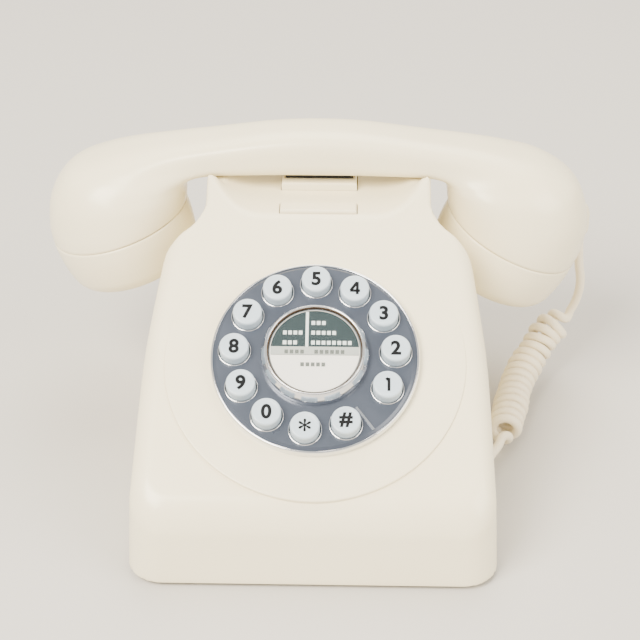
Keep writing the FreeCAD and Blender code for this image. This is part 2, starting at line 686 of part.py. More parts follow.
def build_handset():
    """Handle, caps, capsules and what is inside the handle."""
    outer = feature("handle_outer", handle_shape(0.0))
    inner = feature("handle_inner", handle_shape(float(dim.shell_wall)))
    node(cut("handset_handle", outer, inner))
    collar = turned("grommet_collar", [(0, 0), (dim.boss_radius - 0.8, 0), (dim.boss_radius, 1.0),
                                       (dim.boss_radius, 11.0), (dim.boss_radius - 2.0, 15.0), (0, 16.0)],
                    at=(dim.boss_across, y_at(dim.boss_depth), UPPER_LEAD[0][2]))
    node(cut("cord_grommet", collar, outer))
    node(box("hook_pad", 30.0, 12.0, 2.2, (0, float(y_at(153.5)), float(dim.handle_underside) - 2.2)))
    build_cap("earpiece_cap", EAR, ((6.0, 6), (12.0, 12)))
    build_cap("mouthpiece_cap", MOUTH, ((6.0, 6), (12.0, 12), (18.0, 18)))
    build_capsule("receiver", EAR, 11.0)
    build_capsule("transmitter", MOUTH, 9.0)
    node(box("handset_weight", 60.0, 14.0, 8.0, (0, HANDSET_Y, 117.5)))
    wires = [bar_along_x(f"wire_{i}", 0.8, 96.0, (-48.0, HANDSET_Y + side, 116.0))
             for i, side in enumerate((-3.0, 3.0))]
    node(fuse("handset_wires", wires))


def build_capsule(name, frame, high):
    """Round capsule seated in a soft ring inside a cap."""
    start = float(dim.cap_length) - 4.4 - high
    radius = 20.0
    node(turned(f"{name}_capsule", [(0, start), (radius - 2, start), (radius, start + 2),
                                    (radius, start + high), (0, start + high)], frame))
    node(turned(f"{name}_gasket", [(radius + 0.05, start + 2), (radius + 3.0, start + 2),
                                   (radius + 3.0, start + high - 2.5),
                                   (radius + 0.05, start + high - 2.5)], frame))


# ---------------------------------------------------------------- handset cord
def tube(label, route, radius):
    """Tube along straight runs joined by tangent arcs, with its radii and volume printed."""
    points = [Vector(*[float(v) for v in p]) for p in route]
    edges, start, radii = [], points[0], []
    for before, corner, after in zip(points, points[1:], points[2:]):
        arrive, leave = corner - before, after - corner
        shorter = min(arrive.Length, leave.Length)
        turn = arrive.getAngle(leave)
        reach = 0.45 * shorter
        radii.append(round(reach / math.tan(turn / 2), 1))
        arrive.normalize()
        leave.normalize()
        first, last = corner - arrive * reach, corner + leave * reach
        inward = leave - arrive
        inward.normalize()
        bow = radii[-1] * (1 / math.cos(turn / 2) - 1)
        edges.append(Part.LineSegment(start, first).toShape())
        edges.append(Part.Arc(first, corner + inward * bow, last).toShape())
        start = last
    edges.append(Part.LineSegment(start, points[-1]).toShape())
    path = Part.Wire(edges)
    length = path.Length
    ring = Part.Wire(Part.makeCircle(radius, points[0], points[1] - points[0]))
    shape = path.makePipeShell([ring], True, True)
    expected = math.pi * radius ** 2 * length
    print(f"{label}: radii {radii}, length {length:.1f}, volume {shape.Volume:.0f} of {expected:.0f}")
    return feature(label, shape)


def build_cord():
    """Leads, coil and plug of the curly cord, where they lie."""
    wire = float(dim.wire_diameter) / 2
    leads = [node(tube("cord_upper_lead", UPPER_LEAD, wire)), node(tube("cord_lower_lead", LOWER_LEAD, wire))]
    coil = tube("coil_blank", COIL, float(dim.coil_diameter) / 2)
    node(cut("cord_coil", coil, fuse("lead_ends", leads)))
    plug = box("plug_body", dim.plug_width, PLUG_LENGTH, dim.plug_height, (0, PLUG_LENGTH / 2 - 8.0, 0.0), JACK)
    node(plug, "cord_plug")


build_cover()
build_underside()
build_electronics()
build_hook()
build_dial()
build_buttons()
build_sliders()
build_handset()
build_cord()

doc.recompute()
for thing in doc.Objects:
    if "Invalid" in thing.State or "Error" in thing.State:
        raise RuntimeError(f"{thing.Label} failed: {thing.State}")
for label, thing in nodes.items():
    if thing.Shape.isNull() or not thing.Shape.isValid():
        raise RuntimeError(f"{label} has no valid shape")
    print(label, len(thing.Shape.Solids), round(thing.Shape.Volume))

os.makedirs("parts", exist_ok=True)
for label, thing in nodes.items():
    thing.Shape.exportStep(f"parts/{label}.step")
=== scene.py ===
"""Corded landline phone: finished meshes and finishes around its CAD frame."""
import json
import logging
import math
from dataclasses import dataclass
from enum import Enum
from typing import Callable, ClassVar, Sequence

import bmesh
import bpy
import numpy as np
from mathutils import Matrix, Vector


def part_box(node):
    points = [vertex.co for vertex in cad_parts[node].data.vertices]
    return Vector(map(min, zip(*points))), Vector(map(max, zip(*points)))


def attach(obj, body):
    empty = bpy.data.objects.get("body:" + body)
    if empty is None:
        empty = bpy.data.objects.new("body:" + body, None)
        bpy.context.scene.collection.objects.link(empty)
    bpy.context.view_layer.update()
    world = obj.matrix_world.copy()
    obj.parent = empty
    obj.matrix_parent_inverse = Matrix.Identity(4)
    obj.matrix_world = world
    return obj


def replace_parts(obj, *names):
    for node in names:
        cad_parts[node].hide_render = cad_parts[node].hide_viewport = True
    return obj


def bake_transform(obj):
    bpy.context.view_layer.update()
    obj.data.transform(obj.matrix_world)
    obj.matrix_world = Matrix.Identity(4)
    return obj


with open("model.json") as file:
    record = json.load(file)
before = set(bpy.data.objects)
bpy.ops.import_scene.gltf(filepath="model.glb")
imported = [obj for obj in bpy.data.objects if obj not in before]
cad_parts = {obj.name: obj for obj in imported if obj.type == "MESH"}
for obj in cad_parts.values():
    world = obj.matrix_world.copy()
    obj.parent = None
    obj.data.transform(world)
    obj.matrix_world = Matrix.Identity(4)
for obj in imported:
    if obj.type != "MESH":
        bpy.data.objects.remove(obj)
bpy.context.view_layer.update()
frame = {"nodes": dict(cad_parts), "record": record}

import openvdb
from mathutils import Euler, Matrix, Vector

MM = 0.001
LOG = logging.getLogger("landline_phone")
Point2 = tuple[float, float]
Point3 = tuple[float, float, float]
Field = Callable[[np.ndarray, np.ndarray, np.ndarray], np.ndarray]


# ---------------------------------------------------------------- places taken from the frame
FACE_SLOPE = math.radians(31.0)
MEMBRANE_LEVEL = -3.4


def middle(node: str) -> Vector:
    """Return the middle of a CAD node's box, in millimetres.

    Args:
        node: name of the CAD node.

    Returns:
        The middle point.
    """
    low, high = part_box(node)
    return (low + high) / 2 / MM


def face_frame() -> Matrix:
    """Return the dial's own frame: origin on the sloping face, Z out of it, in millimetres."""
    turn = Euler((FACE_SLOPE, 0.0, 0.0)).to_matrix().to_4x4()
    out = turn @ Vector((0.0, 0.0, 1.0))
    return Matrix.Translation(middle("keypad_membrane") - out * MEMBRANE_LEVEL) @ turn


FACE = face_frame()
HANDLE_Y = middle("handset_handle").y


# ---------------------------------------------------------------- finishes
def srgb(code: str) -> tuple[float, float, float, float]:
    """Turn an sRGB hex code into linear RGBA.

    Args:
        code: six hex digits.

    Returns:
        Linear red, green, blue and an alpha of 1.
    """
    parts = [int(code[i:i + 2], 16) / 255 for i in (0, 2, 4)]
    linear = [c / 12.92 if c <= 0.04045 else ((c + 0.055) / 1.055) ** 2.4 for c in parts]
    return (*linear, 1.0)


def add_node(tree: bpy.types.NodeTree, kind: str, settings: dict | None = None,
             links: dict | None = None) -> bpy.types.Node:
    """Add a node with its settings and links.

    Args:
        tree: the tree that gets the node.
        kind: the node's type name.
        settings: property names, or input names and numbers, with their values.
        links: input names or numbers with the output sockets that feed them.

    Returns:
        The new node.
    """
    made = tree.nodes.new(kind)
    for key, value in (settings or {}).items():
        if isinstance(key, int):
            made.inputs[key].default_value = value
        elif hasattr(made, key):
            setattr(made, key, value)
        else:
            made.inputs[key].default_value = value
    for key, socket in (links or {}).items():
        tree.links.new(socket, made.inputs[key])
    return made


@dataclass(frozen=True)
class Finish:
    """A moulded, painted or plated surface: colour, gloss, mottle and fine grain."""

    name: str
    colour: str
    shade: str
    roughness: float
    spread: float = 0.06
    metallic: float = 0.0
    ior: float = 1.5
    coat: float = 0.0
    mottle_mm: float = 14.0
    grain_mm: float = 0.6
    grain_depth_mm: float = 0.01

    def build(self) -> bpy.types.Material:
        """Make the material, or return the one made before."""
        known = bpy.data.materials.get(self.name)
        if known:
            return known
        material = bpy.data.materials.new(self.name)
        material.use_nodes = True
        tree = material.node_tree
        tree.nodes.clear()
        shader = add_node(tree, "ShaderNodeBsdfPrincipled", {
            "Metallic": self.metallic, "IOR": self.ior, "Coat Weight": self.coat, "Coat Roughness": 0.08})
        add_node(tree, "ShaderNodeOutputMaterial", {}, {"Surface": shader.outputs[0]})
        self.dress(tree, shader)
        return material

    def dress(self, tree: bpy.types.NodeTree, shader: bpy.types.Node) -> None:
        """Feed the shader with mottled colour, uneven gloss and a fine grain.

        Args:
            tree: the material's tree.
            shader: its principled shader.
        """
        place = add_node(tree, "ShaderNodeTexCoord").outputs["Object"]
        mottle = add_node(tree, "ShaderNodeTexNoise", {"Scale": 1 / (self.mottle_mm * MM), "Detail": 3.0},
                          {"Vector": place})
        tint = add_node(tree, "ShaderNodeMix", {
            "data_type": "RGBA", 6: srgb(self.shade), 7: srgb(self.colour)}, {0: mottle.outputs[0]})
        tree.links.new(tint.outputs[2], shader.inputs["Base Color"])
        grain = add_node(tree, "ShaderNodeTexNoise", {"Scale": 1 / (self.grain_mm * MM), "Detail": 2.0},
                         {"Vector": place})
        gloss = add_node(tree, "ShaderNodeMapRange", {
            "To Min": self.roughness - self.spread, "To Max": self.roughness + self.spread},
            {"Value": mottle.outputs[0]})
        tree.links.new(gloss.outputs[0], shader.inputs["Roughness"])
        bump = add_node(tree, "ShaderNodeBump", {"Strength": 0.6, "Distance": self.grain_depth_mm * MM},
                        {"Height": grain.outputs[0]})
        tree.links.new(bump.outputs[0], shader.inputs["Normal"])


@dataclass(frozen=True)
class SpunFinish(Finish):
    """A finish with fine circular tooling marks round the dial's own axis."""

    ring_mm: float = 0.35

    def dress(self, tree: bpy.types.NodeTree, shader: bpy.types.Node) -> None:
        """Add rings that vary with the distance from the dial's centre line.

        Args:
            tree: the material's tree.
            shader: its principled shader.
        """
        super().dress(tree, shader)
        place = add_node(tree, "ShaderNodeTexCoord").outputs["Object"]
        spot = FACE.translation * MM
        moved = add_node(tree, "ShaderNodeVectorMath", {"operation": "SUBTRACT", 1: spot}, {0: place})
        level = add_node(tree, "ShaderNodeVectorRotate", {"rotation_type": "X_AXIS", "Angle": -FACE_SLOPE},
                         {"Vector": moved.outputs[0]})
        flat = add_node(tree, "ShaderNodeVectorMath", {"operation": "MULTIPLY", 1: (1.0, 1.0, 0.0)},
                        {0: level.outputs[0]})
        far = add_node(tree, "ShaderNodeVectorMath", {"operation": "LENGTH"}, {0: flat.outputs[0]})
        across = add_node(tree, "ShaderNodeCombineXYZ", {}, {"X": far.outputs["Value"]})
        rings = add_node(tree, "ShaderNodeTexNoise", {"Scale": 1 / (self.ring_mm * MM), "Detail": 1.0},
                         {"Vector": across.outputs[0]})
        bump = add_node(tree, "ShaderNodeBump", {"Strength": 0.5, "Distance": 0.012 * MM},
                        {"Height": rings.outputs[0]})
        tree.links.new(bump.outputs[0], shader.inputs["Normal"])


@dataclass(frozen=True)
class ClearFinish(Finish):
    """A clear moulded plastic that lets the print under it show."""

    def dress(self, tree: bpy.types.NodeTree, shader: bpy.types.Node) -> None:
        """Make the shader mostly transparent, with a glossy face.

        Args:
            tree: the material's tree.
            shader: its principled shader.
        """
        super().dress(tree, shader)
        shader.inputs["Alpha"].default_value = 0.03
        shader.inputs["Specular IOR Level"].default_value = 0.5


# Glossy injection-moulded ABS, warm ivory: soft highlights, barely any texture.
IVORY = Finish("abs_ivory_gloss", "F4EACB", "F0E5C4", 0.24, mottle_mm=30.0, grain_mm=0.9,
               grain_depth_mm=0.006)
# The cord's extruded PVC skin: the same ivory, softer and duller.
CORD_VINYL = Finish("pvc_cord_ivory", "F5EAD0", "EFE2C4", 0.42, mottle_mm=5.0, grain_mm=0.3,
                    grain_depth_mm=0.02)
# Stove-enamelled aluminium plate, blue-grey satin with circular tooling under the paint.
DIAL_PAINT = SpunFinish("enamelled_aluminium_grey", "4A515F", "444B58", 0.30, metallic=0.4, coat=0.25)
# Chromium plate on brass, polished: reads mirror bright.
CHROME = Finish("chromium_plate_polished", "E4E5E8", "DCDDE1", 0.09, spread=0.02, metallic=1.0,
                grain_depth_mm=0.001)
# Dull nickel line struck in the plate.
NICKEL = Finish("nickel_line_brushed", "A4AAB3", "9AA0A9", 0.28, metallic=0.9, grain_depth_mm=0.004)
# Painted shade: a dark bronze-coloured ring put in the gap between the bezel and the lens, standing in for
# the shadow line there.
PAINTED_SHADOW_RING = Finish("painted_shadow_ring_dark", "54402F", "483626", 0.38, metallic=0.8, grain_depth_mm=0.004)
# Cool white ABS buttons, high gloss.
BUTTON = Finish("abs_cool_white_gloss", "BCCAD6", "B5C4D0", 0.22, mottle_mm=8.0, grain_depth_mm=0.004)
# Pad-printed ink: dark blue-black and matt.
INK = Finish("ink_blue_black", "0B0E12", "090B0F", 0.6, ior=1.25, grain_mm=0.2, grain_depth_mm=0.004)
# Printed card: paper white, green-grey panel, pale band and white marks.
CARD_WHITE = Finish("card_warm_white", "EFEDE6", "EAE8E0", 0.6, grain_mm=0.25, grain_depth_mm=0.01)
CARD_GREEN = Finish("card_green_grey", "263539", "223034", 0.6, ior=1.3, grain_mm=0.25, grain_depth_mm=0.01)
CARD_BAND = Finish("card_pale_band", "AEB2AD", "A8ADA8", 0.6, grain_mm=0.25, grain_depth_mm=0.01)
CARD_MARK = Finish("card_mark_white", "DDE6E4", "D5DFDD", 0.6, grain_mm=0.25, grain_depth_mm=0.01)
CARD_GREY = Finish("card_mark_grey", "5F6560", "575D58", 0.6, grain_mm=0.25, grain_depth_mm=0.01)
# Cast acrylic, polished: clear with sharp reflections. The tint is grey, so that it leaves no haze.
ACRYLIC = ClearFinish("acrylic_clear_polished", "5E6464", "5A6060", 0.06, spread=0.01, ior=1.49,
                      grain_depth_mm=0.0005)
# Polycarbonate plug, slightly milky.
POLYCARBONATE = Finish("polycarbonate_plug", "D9DAD6", "CFD0CB", 0.2, mottle_mm=3.0, grain_depth_mm=0.004)
# Spark-eroded black ABS of the underside: even, dull and finely pitted.
BLACK_ABS = Finish("abs_black_textured", "191919", "141414", 0.6, grain_mm=0.5, grain_depth_mm=0.05)
# Moulded rubber feet: dead matt.
RUBBER = Finish("rubber_black_matt", "1D1C1B", "171615", 0.85, ior=1.52, grain_mm=0.4, grain_depth_mm=0.03)
# Zinc-plated steel: bright grey with a faint yellow bloom.
ZINC_STEEL = Finish("steel_zinc_plated", "B9B7AE", "ABA99F", 0.36, metallic=1.0, mottle_mm=4.0,
                    grain_depth_mm=0.01)
# Fibreglass board under green solder mask.
SOLDER_MASK = Finish("solder_mask_green", "1F5A38", "1A4E30", 0.35, coat=0.3, grain_mm=1.2,
                     grain_depth_mm=0.02)
# Black thermoset component bodies.
COMPONENT = Finish("component_black_moulded", "232324", "1C1C1D", 0.5, grain_mm=0.4, grain_depth_mm=0.02)
# Grey ABS of the redial plunger and the keypad frame.
GREY_ABS = Finish("abs_mid_grey", "6A6F73", "62676B", 0.45, grain_depth_mm=0.02)
# Drawn aluminium capsule cans.
CAN = Finish("aluminium_drawn", "C8C8C8", "BDBDBD", 0.32, metallic=1.0, grain_depth_mm=0.01)
# Grey PVC ribbon and wires.
RIBBON = Finish("pvc_ribbon_grey", "8A8B8D", "808183", 0.5, grain_depth_mm=0.02)

SLOT_FINISHES = {
    "ivory_plastic": IVORY, "dial_paint": DIAL_PAINT, "bright_chrome": CHROME, "mark_metal": NICKEL,
    "button_plastic": BUTTON, "number_card": CARD_WHITE, "clear_lens": ACRYLIC, "redial_plastic": GREY_ABS,
    "cord_vinyl": CORD_VINYL, "plug_plastic": POLYCARBONATE, "black_rubber": RUBBER,
    "base_plastic": BLACK_ABS, "steel": ZINC_STEEL, "circuit_board": SOLDER_MASK,
    "component_black": COMPONENT, "capsule_metal": CAN, "cable_grey": RIBBON,
}


# ---------------------------------------------------------------- mesh makers
def linked(name: str, data: bpy.types.ID) -> bpy.types.Object:
    """Make an object of some data and put it in the scene.

    Args:
        name: the object's name.
        data: its mesh, curve, lamp or lens.

    Returns:
        The new object.
    """
    made = bpy.data.objects.new(name, data)
    bpy.context.scene.collection.objects.link(made)
    return made


def keep(name: str, mesh: bpy.types.Mesh, finish: Finish, sharp: float = 40.0) -> bpy.types.Object:
    """Link a mesh as a piece with one finish and smooth shading between sharp edges.

    Args:
        name: the piece's name.
        mesh: its mesh, in metres and in the frame.
        finish: its finish.
        sharp: edges steeper than this many degrees stay sharp.

    Returns:
        The new object.
    """
    mesh.name = name
    mesh.materials.clear()
    mesh.materials.append(finish.build())
    mesh.shade_smooth()
    mesh.set_sharp_from_angle(angle=math.radians(sharp))
    LOG.info("%s: %d faces in %s", name, len(mesh.polygons), finish.name)
    return linked(name, mesh)


def mesh_of(points: Sequence, faces: Sequence, seat: Matrix | None = None) -> bpy.types.Mesh:
    """Make a mesh from points in millimetres, with its faces turned outwards.

    Args:
        points: the corners, in the seat's frame.
        faces: corner numbers of each face.
        seat: the frame that the points are given in.

    Returns:
        The mesh, in metres.
    """
    mesh = bpy.data.meshes.new("raw")
    mesh.from_pydata([tuple(p) for p in points], [], [tuple(f) for f in faces])
    mesh.transform(Matrix.Scale(MM, 4) @ (seat or Matrix()))
    work = bmesh.new()
    work.from_mesh(mesh)
    bmesh.ops.recalc_face_normals(work, faces=work.faces)
    work.to_mesh(mesh)
    work.free()
    return mesh


def softened(corners: Sequence[Point2], radius: float, steps: int = 4) -> list[Point2]:
    """Round the inner corners of an open outline.

    Args:
        corners: the outline's corners; its two ends stay as they are.
        radius: the longest cut along each side, in millimetres.
        steps: points along each rounded corner, less one.

    Returns:
        The rounded outline.
    """
    outline = [corners[0]]
    for before, corner, after in zip(corners, corners[1:], corners[2:]):
        here = Vector(corner)
        back, ahead = Vector(before) - here, Vector(after) - here
        cut = min(radius, back.length * 0.45, ahead.length * 0.45)
        start, end = here + back.normalized() * cut, here + ahead.normalized() * cut
        for step in range(steps + 1):
            t = step / steps
            spot = start * (1 - t) ** 2 + here * (2 * t * (1 - t)) + end * t ** 2
            outline.append((spot.x, spot.y))
    outline.append(corners[-1])
    return outline


def turned(outline: Sequence[Point2], seat: Matrix, segments: int = 96,
           closed: bool = False) -> bpy.types.Mesh:
    """Turn an outline of (radius, height) round a frame's Z.

    Args:
        outline: the outline; ends on the axis are closed with a fan.
        seat: the frame.
        segments: faces round the piece.
        closed: whether the outline is a closed loop, as of a ring.

    Returns:
        The mesh, in metres.
    """
    points, rings = [], []
    for radius, height in outline:
        if radius < 1e-6:
            rings.append([len(points)] * segments)
            points.append((0.0, 0.0, height))
            continue
        rings.append(list(range(len(points), len(points) + segments)))
        for i in range(segments):
            turn = 2 * math.pi * i / segments
            points.append((radius * math.cos(turn), radius * math.sin(turn), height))
    faces = []
    pairs = list(zip(rings, rings[1:])) + ([(rings[-1], rings[0])] if closed else [])
    for low, high in pairs:
        for i in range(segments):
            j = (i + 1) % segments
            corners = dict.fromkeys((low[i], low[j], high[j], high[i]))
            if len(corners) > 2:
                faces.append(tuple(corners))
    return mesh_of(points, faces, seat)


def skinned(points: Sequence, sides: int) -> bpy.types.Mesh:
    """Skin a row of rings of points into a tube with closed ends.

    Args:
        points: the rings' points in order, in millimetres.
        sides: points in each ring.

    Returns:
        The mesh, in metres.
    """
    count = len(points)
    faces = [(start + i, start + (i + 1) % sides, start + sides + (i + 1) % sides, start + sides + i)
             for start in range(0, count - sides, sides) for i in range(sides)]
    return mesh_of(points, [tuple(range(sides)), tuple(range(count - sides, count)), *faces])


def field_mesh(field: Field, low: Point3, high: Point3, step: float) -> bpy.types.Mesh:
    """Skin a solid that is given by a field, negative inside, and draw the skin onto it.

    Args:
        field: the solid's field over x, y, z arrays, in millimetres.
        low: lowest corner of the space to search.
        high: highest corner of the space to search.
        step: spacing of the search, in millimetres.

    Returns:
        The mesh, in metres.
    """
    axes = [np.arange(a, b + step, step) for a, b in zip(low, high)]
    x, y, z = np.meshgrid(*axes, indexing="ij")
    grid = openvdb.FloatGrid(3 * step)
    grid.copyFromArray(np.clip(field(x, y, z), -3 * step, 3 * step).astype(np.float32))
    spots, triangles, quads = grid.convertToPolygons(isovalue=0.0, adaptivity=0.0)
    spots = spots.astype(float) * step + np.array(low)
    nudge = 0.02
    for _ in range(4):
        here = field(*spots.T)
        slope = np.stack([(field(*(spots + d).T) - field(*(spots - d).T)) / (2 * nudge)
                          for d in np.eye(3) * nudge], axis=1)
        size = np.maximum((slope ** 2).sum(1), 0.2)
        move = -(here / size)[:, None] * slope
        spots += np.clip(move, -step / 2, step / 2)
    return mesh_of(spots, [*map(tuple, triangles), *map(tuple, quads)])


def evaluated(piece: bpy.types.Object) -> bpy.types.Mesh:
    """Return the piece's mesh with its modifiers applied."""
    shown = piece.evaluated_get(bpy.context.evaluated_depsgraph_get())
    return bpy.data.meshes.new_from_object(shown)


def carve(piece: bpy.types.Object, cutter: bpy.types.Object, sharp: float = 40.0) -> None:
    """Cut a piece with another object, which is then thrown away.

    Args:
        piece: the piece to cut.
        cutter: a closed mesh.
        sharp: edges steeper than this many degrees stay sharp.
    """
    change = piece.modifiers.new("carve", "BOOLEAN")
    change.operation = "DIFFERENCE"
    change.solver = "EXACT"
    change.object = cutter
    bpy.context.view_layer.update()
    result = evaluated(piece)
    piece.modifiers.clear()
    piece.data = result
    result.shade_smooth()
    result.set_sharp_from_angle(angle=math.radians(sharp))
    bpy.data.objects.remove(cutter)


def joined(name: str, meshes: Sequence[bpy.types.Mesh]) -> bpy.types.Object:
    """Put several closed meshes in one object, to cut with.

    Args:
        name: the object's name.
        meshes: the meshes.

    Returns:
        The object.
    """
    work = bmesh.new()
    for mesh in meshes:
        work.from_mesh(mesh)
    whole = bpy.data.meshes.new(name)
    work.to_mesh(whole)
    work.free()
    return linked(name, whole)


def rounded_box(size: Point3, seat: Matrix, radius: float, segments: int = 3) -> bpy.types.Mesh:
    """Box with rounded edges, centred on a frame's origin.

    Args:
        size: its three sides, in millimetres.
        seat: the frame.
        radius: radius of the edges.
        segments: faces across each rounded edge.

    Returns:
        The mesh, in metres.
    """
    work = bmesh.new()
    bmesh.ops.create_cube(work, size=1.0)
    bmesh.ops.scale(work, vec=Vector(size), verts=work.verts)
    if radius > 0:
        bmesh.ops.bevel(work, geom=list(work.edges), offset=radius, segments=segments, affect="EDGES",
                        profile=0.5)
    mesh = bpy.data.meshes.new("raw")
    work.to_mesh(mesh)
    work.free()
    mesh.transform(Matrix.Scale(MM, 4) @ seat)
    return mesh


def shift(x: float, y: float, z: float) -> Matrix:
    """Return a move by x, y and z."""
    return Matrix.Translation((x, y, z))


# ---------------------------------------------------------------- repeats by geometry nodes
class Pattern(Enum):
    """How a repeated piece is set out."""

    ARC = "arc"
    ROW = "row"


def pattern_tree(pattern: Pattern) -> bpy.types.NodeTree:
    """Build the tree that repeats a piece on an arc or in a row.

    Args:
        pattern: which of the two.

    Returns:
        The geometry tree, whose inputs are named for what they size.
    """
    name = f"repeat_on_{pattern.value}"
    known = bpy.data.node_groups.get(name)
    if known:
        return known
    tree = bpy.data.node_groups.new(name, "GeometryNodeTree")
    tree.is_modifier = True
    for label, kind in (("Piece", "NodeSocketGeometry"), ("Count", "NodeSocketInt"),
                        ("Radius", "NodeSocketFloat"), ("Start", "NodeSocketFloat"),
                        ("Step", "NodeSocketFloat"), ("Finish", "NodeSocketMaterial")):
        tree.interface.new_socket(label, in_out="INPUT", socket_type=kind)
    tree.interface.new_socket("Result", in_out="OUTPUT", socket_type="NodeSocketGeometry")
    given = add_node(tree, "NodeGroupInput")
    line = add_node(tree, "GeometryNodeMeshLine", {"Offset": (0.0, 0.0, 0.0)},
                    {"Count": given.outputs["Count"]})
    index = add_node(tree, "GeometryNodeInputIndex")
    along = add_node(tree, "ShaderNodeMath", {"operation": "MULTIPLY_ADD"},
                     {0: index.outputs[0], 1: given.outputs["Step"], 2: given.outputs["Start"]})
    if pattern is Pattern.ARC:
        sine = add_node(tree, "ShaderNodeMath", {"operation": "SINE"}, {0: along.outputs[0]})
        cosine = add_node(tree, "ShaderNodeMath", {"operation": "COSINE"}, {0: along.outputs[0]})
        unit = add_node(tree, "ShaderNodeCombineXYZ", {}, {"X": cosine.outputs[0], "Y": sine.outputs[0]})
        spot = add_node(tree, "ShaderNodeVectorMath", {"operation": "SCALE"},
                        {0: unit.outputs[0], "Scale": given.outputs["Radius"]})
        turn = add_node(tree, "ShaderNodeCombineXYZ", {}, {"Z": along.outputs[0]})
    else:
        spot = add_node(tree, "ShaderNodeCombineXYZ", {},
                        {"X": along.outputs[0], "Y": given.outputs["Radius"]})
        turn = add_node(tree, "ShaderNodeCombineXYZ")
    laid = add_node(tree, "GeometryNodeSetPosition", {},
                    {"Geometry": line.outputs[0], "Position": spot.outputs[0]})
    copies = add_node(tree, "GeometryNodeInstanceOnPoints", {},
                      {"Points": laid.outputs[0], "Instance": given.outputs["Piece"],
                       "Rotation": turn.outputs[0]})
    real = add_node(tree, "GeometryNodeRealizeInstances", {}, {"Geometry": copies.outputs[0]})
    dressed = add_node(tree, "GeometryNodeSetMaterial", {},
                       {"Geometry": real.outputs[0], "Material": given.outputs["Finish"]})
    add_node(tree, "NodeGroupOutput", {}, {0: dressed.outputs[0]})
    return tree


def repeated(name: str, unit: bpy.types.Mesh, pattern: Pattern, seat: Matrix, finish: Finish, count: int,
             radius: float, start: float, step: float) -> bpy.types.Object:
    """Repeat a small mesh with geometry nodes and turn the result into a plain piece.

    Args:
        name: the piece's name.
        unit: one of what repeats, in metres round the origin.
        pattern: on an arc or in a row.
        seat: frame of the pattern, in millimetres.
        finish: the piece's finish.
        count: how many there are.
        radius: arc radius, or the row's place across, in millimetres.
        start: first angle in degrees, or first place along the row in millimetres.
        step: angle or distance from one to the next.

    Returns:
        The piece.
    """
    holder = linked(name, unit)
    change = holder.modifiers.new("repeat", "NODES")
    change.node_group = pattern_tree(pattern)
    scale = math.pi / 180 if pattern is Pattern.ARC else MM
    values = {"Count": count, "Radius": radius * MM, "Start": start * scale, "Step": step * scale,
              "Finish": finish.build()}
    for item in change.node_group.interface.items_tree:
        if item.in_out == "INPUT" and item.name in values:
            change[item.identifier] = values[item.name]
    bpy.context.view_layer.update()
    mesh = evaluated(holder)
    bpy.data.objects.remove(holder)
    placed = seat.copy()
    placed.translation = seat.translation * MM
    mesh.transform(placed)
    return keep(name, mesh, finish)


# ---------------------------------------------------------------- view and light
@dataclass
class View:
    """The camera, in front of the dial and a little above it, in millimetres and degrees."""

    distance: float = 704.0
    elevation: float = 33.5
    azimuth: float = 1.4
    pitch: float = 32.5
    yaw: float = 1.19
    lens: float = 97.2

    def build(self) -> None:
        """Make the camera and look at the dial."""
        target = FACE @ Vector((0.0, 0.0, 10.0))
        up, round_z = math.radians(self.elevation), math.radians(self.azimuth)
        away = Vector((math.cos(up) * math.sin(round_z), -math.cos(up) * math.cos(round_z), math.sin(up)))
        lens = bpy.data.cameras.new("view")
        lens.lens, lens.sensor_width, lens.clip_start = self.lens, 36.0, 0.02
        camera = linked("view", lens)
        camera.location = (target + away * self.distance) * MM
        camera.rotation_euler = (math.radians(90.0 - self.pitch), 0.0, math.radians(self.yaw))
        bpy.context.scene.camera = camera


@dataclass
class Studio:
    """Plain pale floor and three soft lamps."""

    warmth: str = "FFF8EA"
    floor: Finish = Finish("studio_floor_matt", "C4C0BA", "C1BDB7", 0.75, mottle_mm=400.0, grain_mm=3.0)

    def build(self) -> None:
        """Make the floor, the lamps and the even sky."""
        corners = [(-2500, -2500, 0), (2500, -2500, 0), (2500, 2500, 0), (-2500, 2500, 0)]
        keep("floor", mesh_of(corners, [(0, 1, 2, 3)]), self.floor)
        self.lamp("key", (-0.75, -0.9, 1.35), 0.9, 82.0)
        self.lamp("fill", (1.2, -0.7, 0.9), 1.1, 29.0)
        self.lamp("top", (0.1, 0.7, 1.3), 1.0, 22.0)
        world = bpy.data.worlds.new("studio")
        bpy.context.scene.world = world
        world.use_nodes = True
        world.node_tree.nodes["Background"].inputs[0].default_value = srgb("FBF6EC")
        world.node_tree.nodes["Background"].inputs[1].default_value = 1.25

    def lamp(self, name: str, place: Point3, size: float, power: float) -> None:
        """Hang one square soft lamp that points at the phone.

        Args:
            name: the lamp's name.
            place: where it hangs, in metres.
            size: its side, in metres.
            power: its strength, in watts.
        """
        light = bpy.data.lights.new(name, "AREA")
        light.size, light.energy, light.color = size, power, srgb(self.warmth)[:3]
        lamp = linked(name, light)
        lamp.location = place
        lamp.rotation_euler = (Vector((0.0, 0.0, 0.06)) - Vector(place)).to_track_quat("-Z", "Y").to_euler()


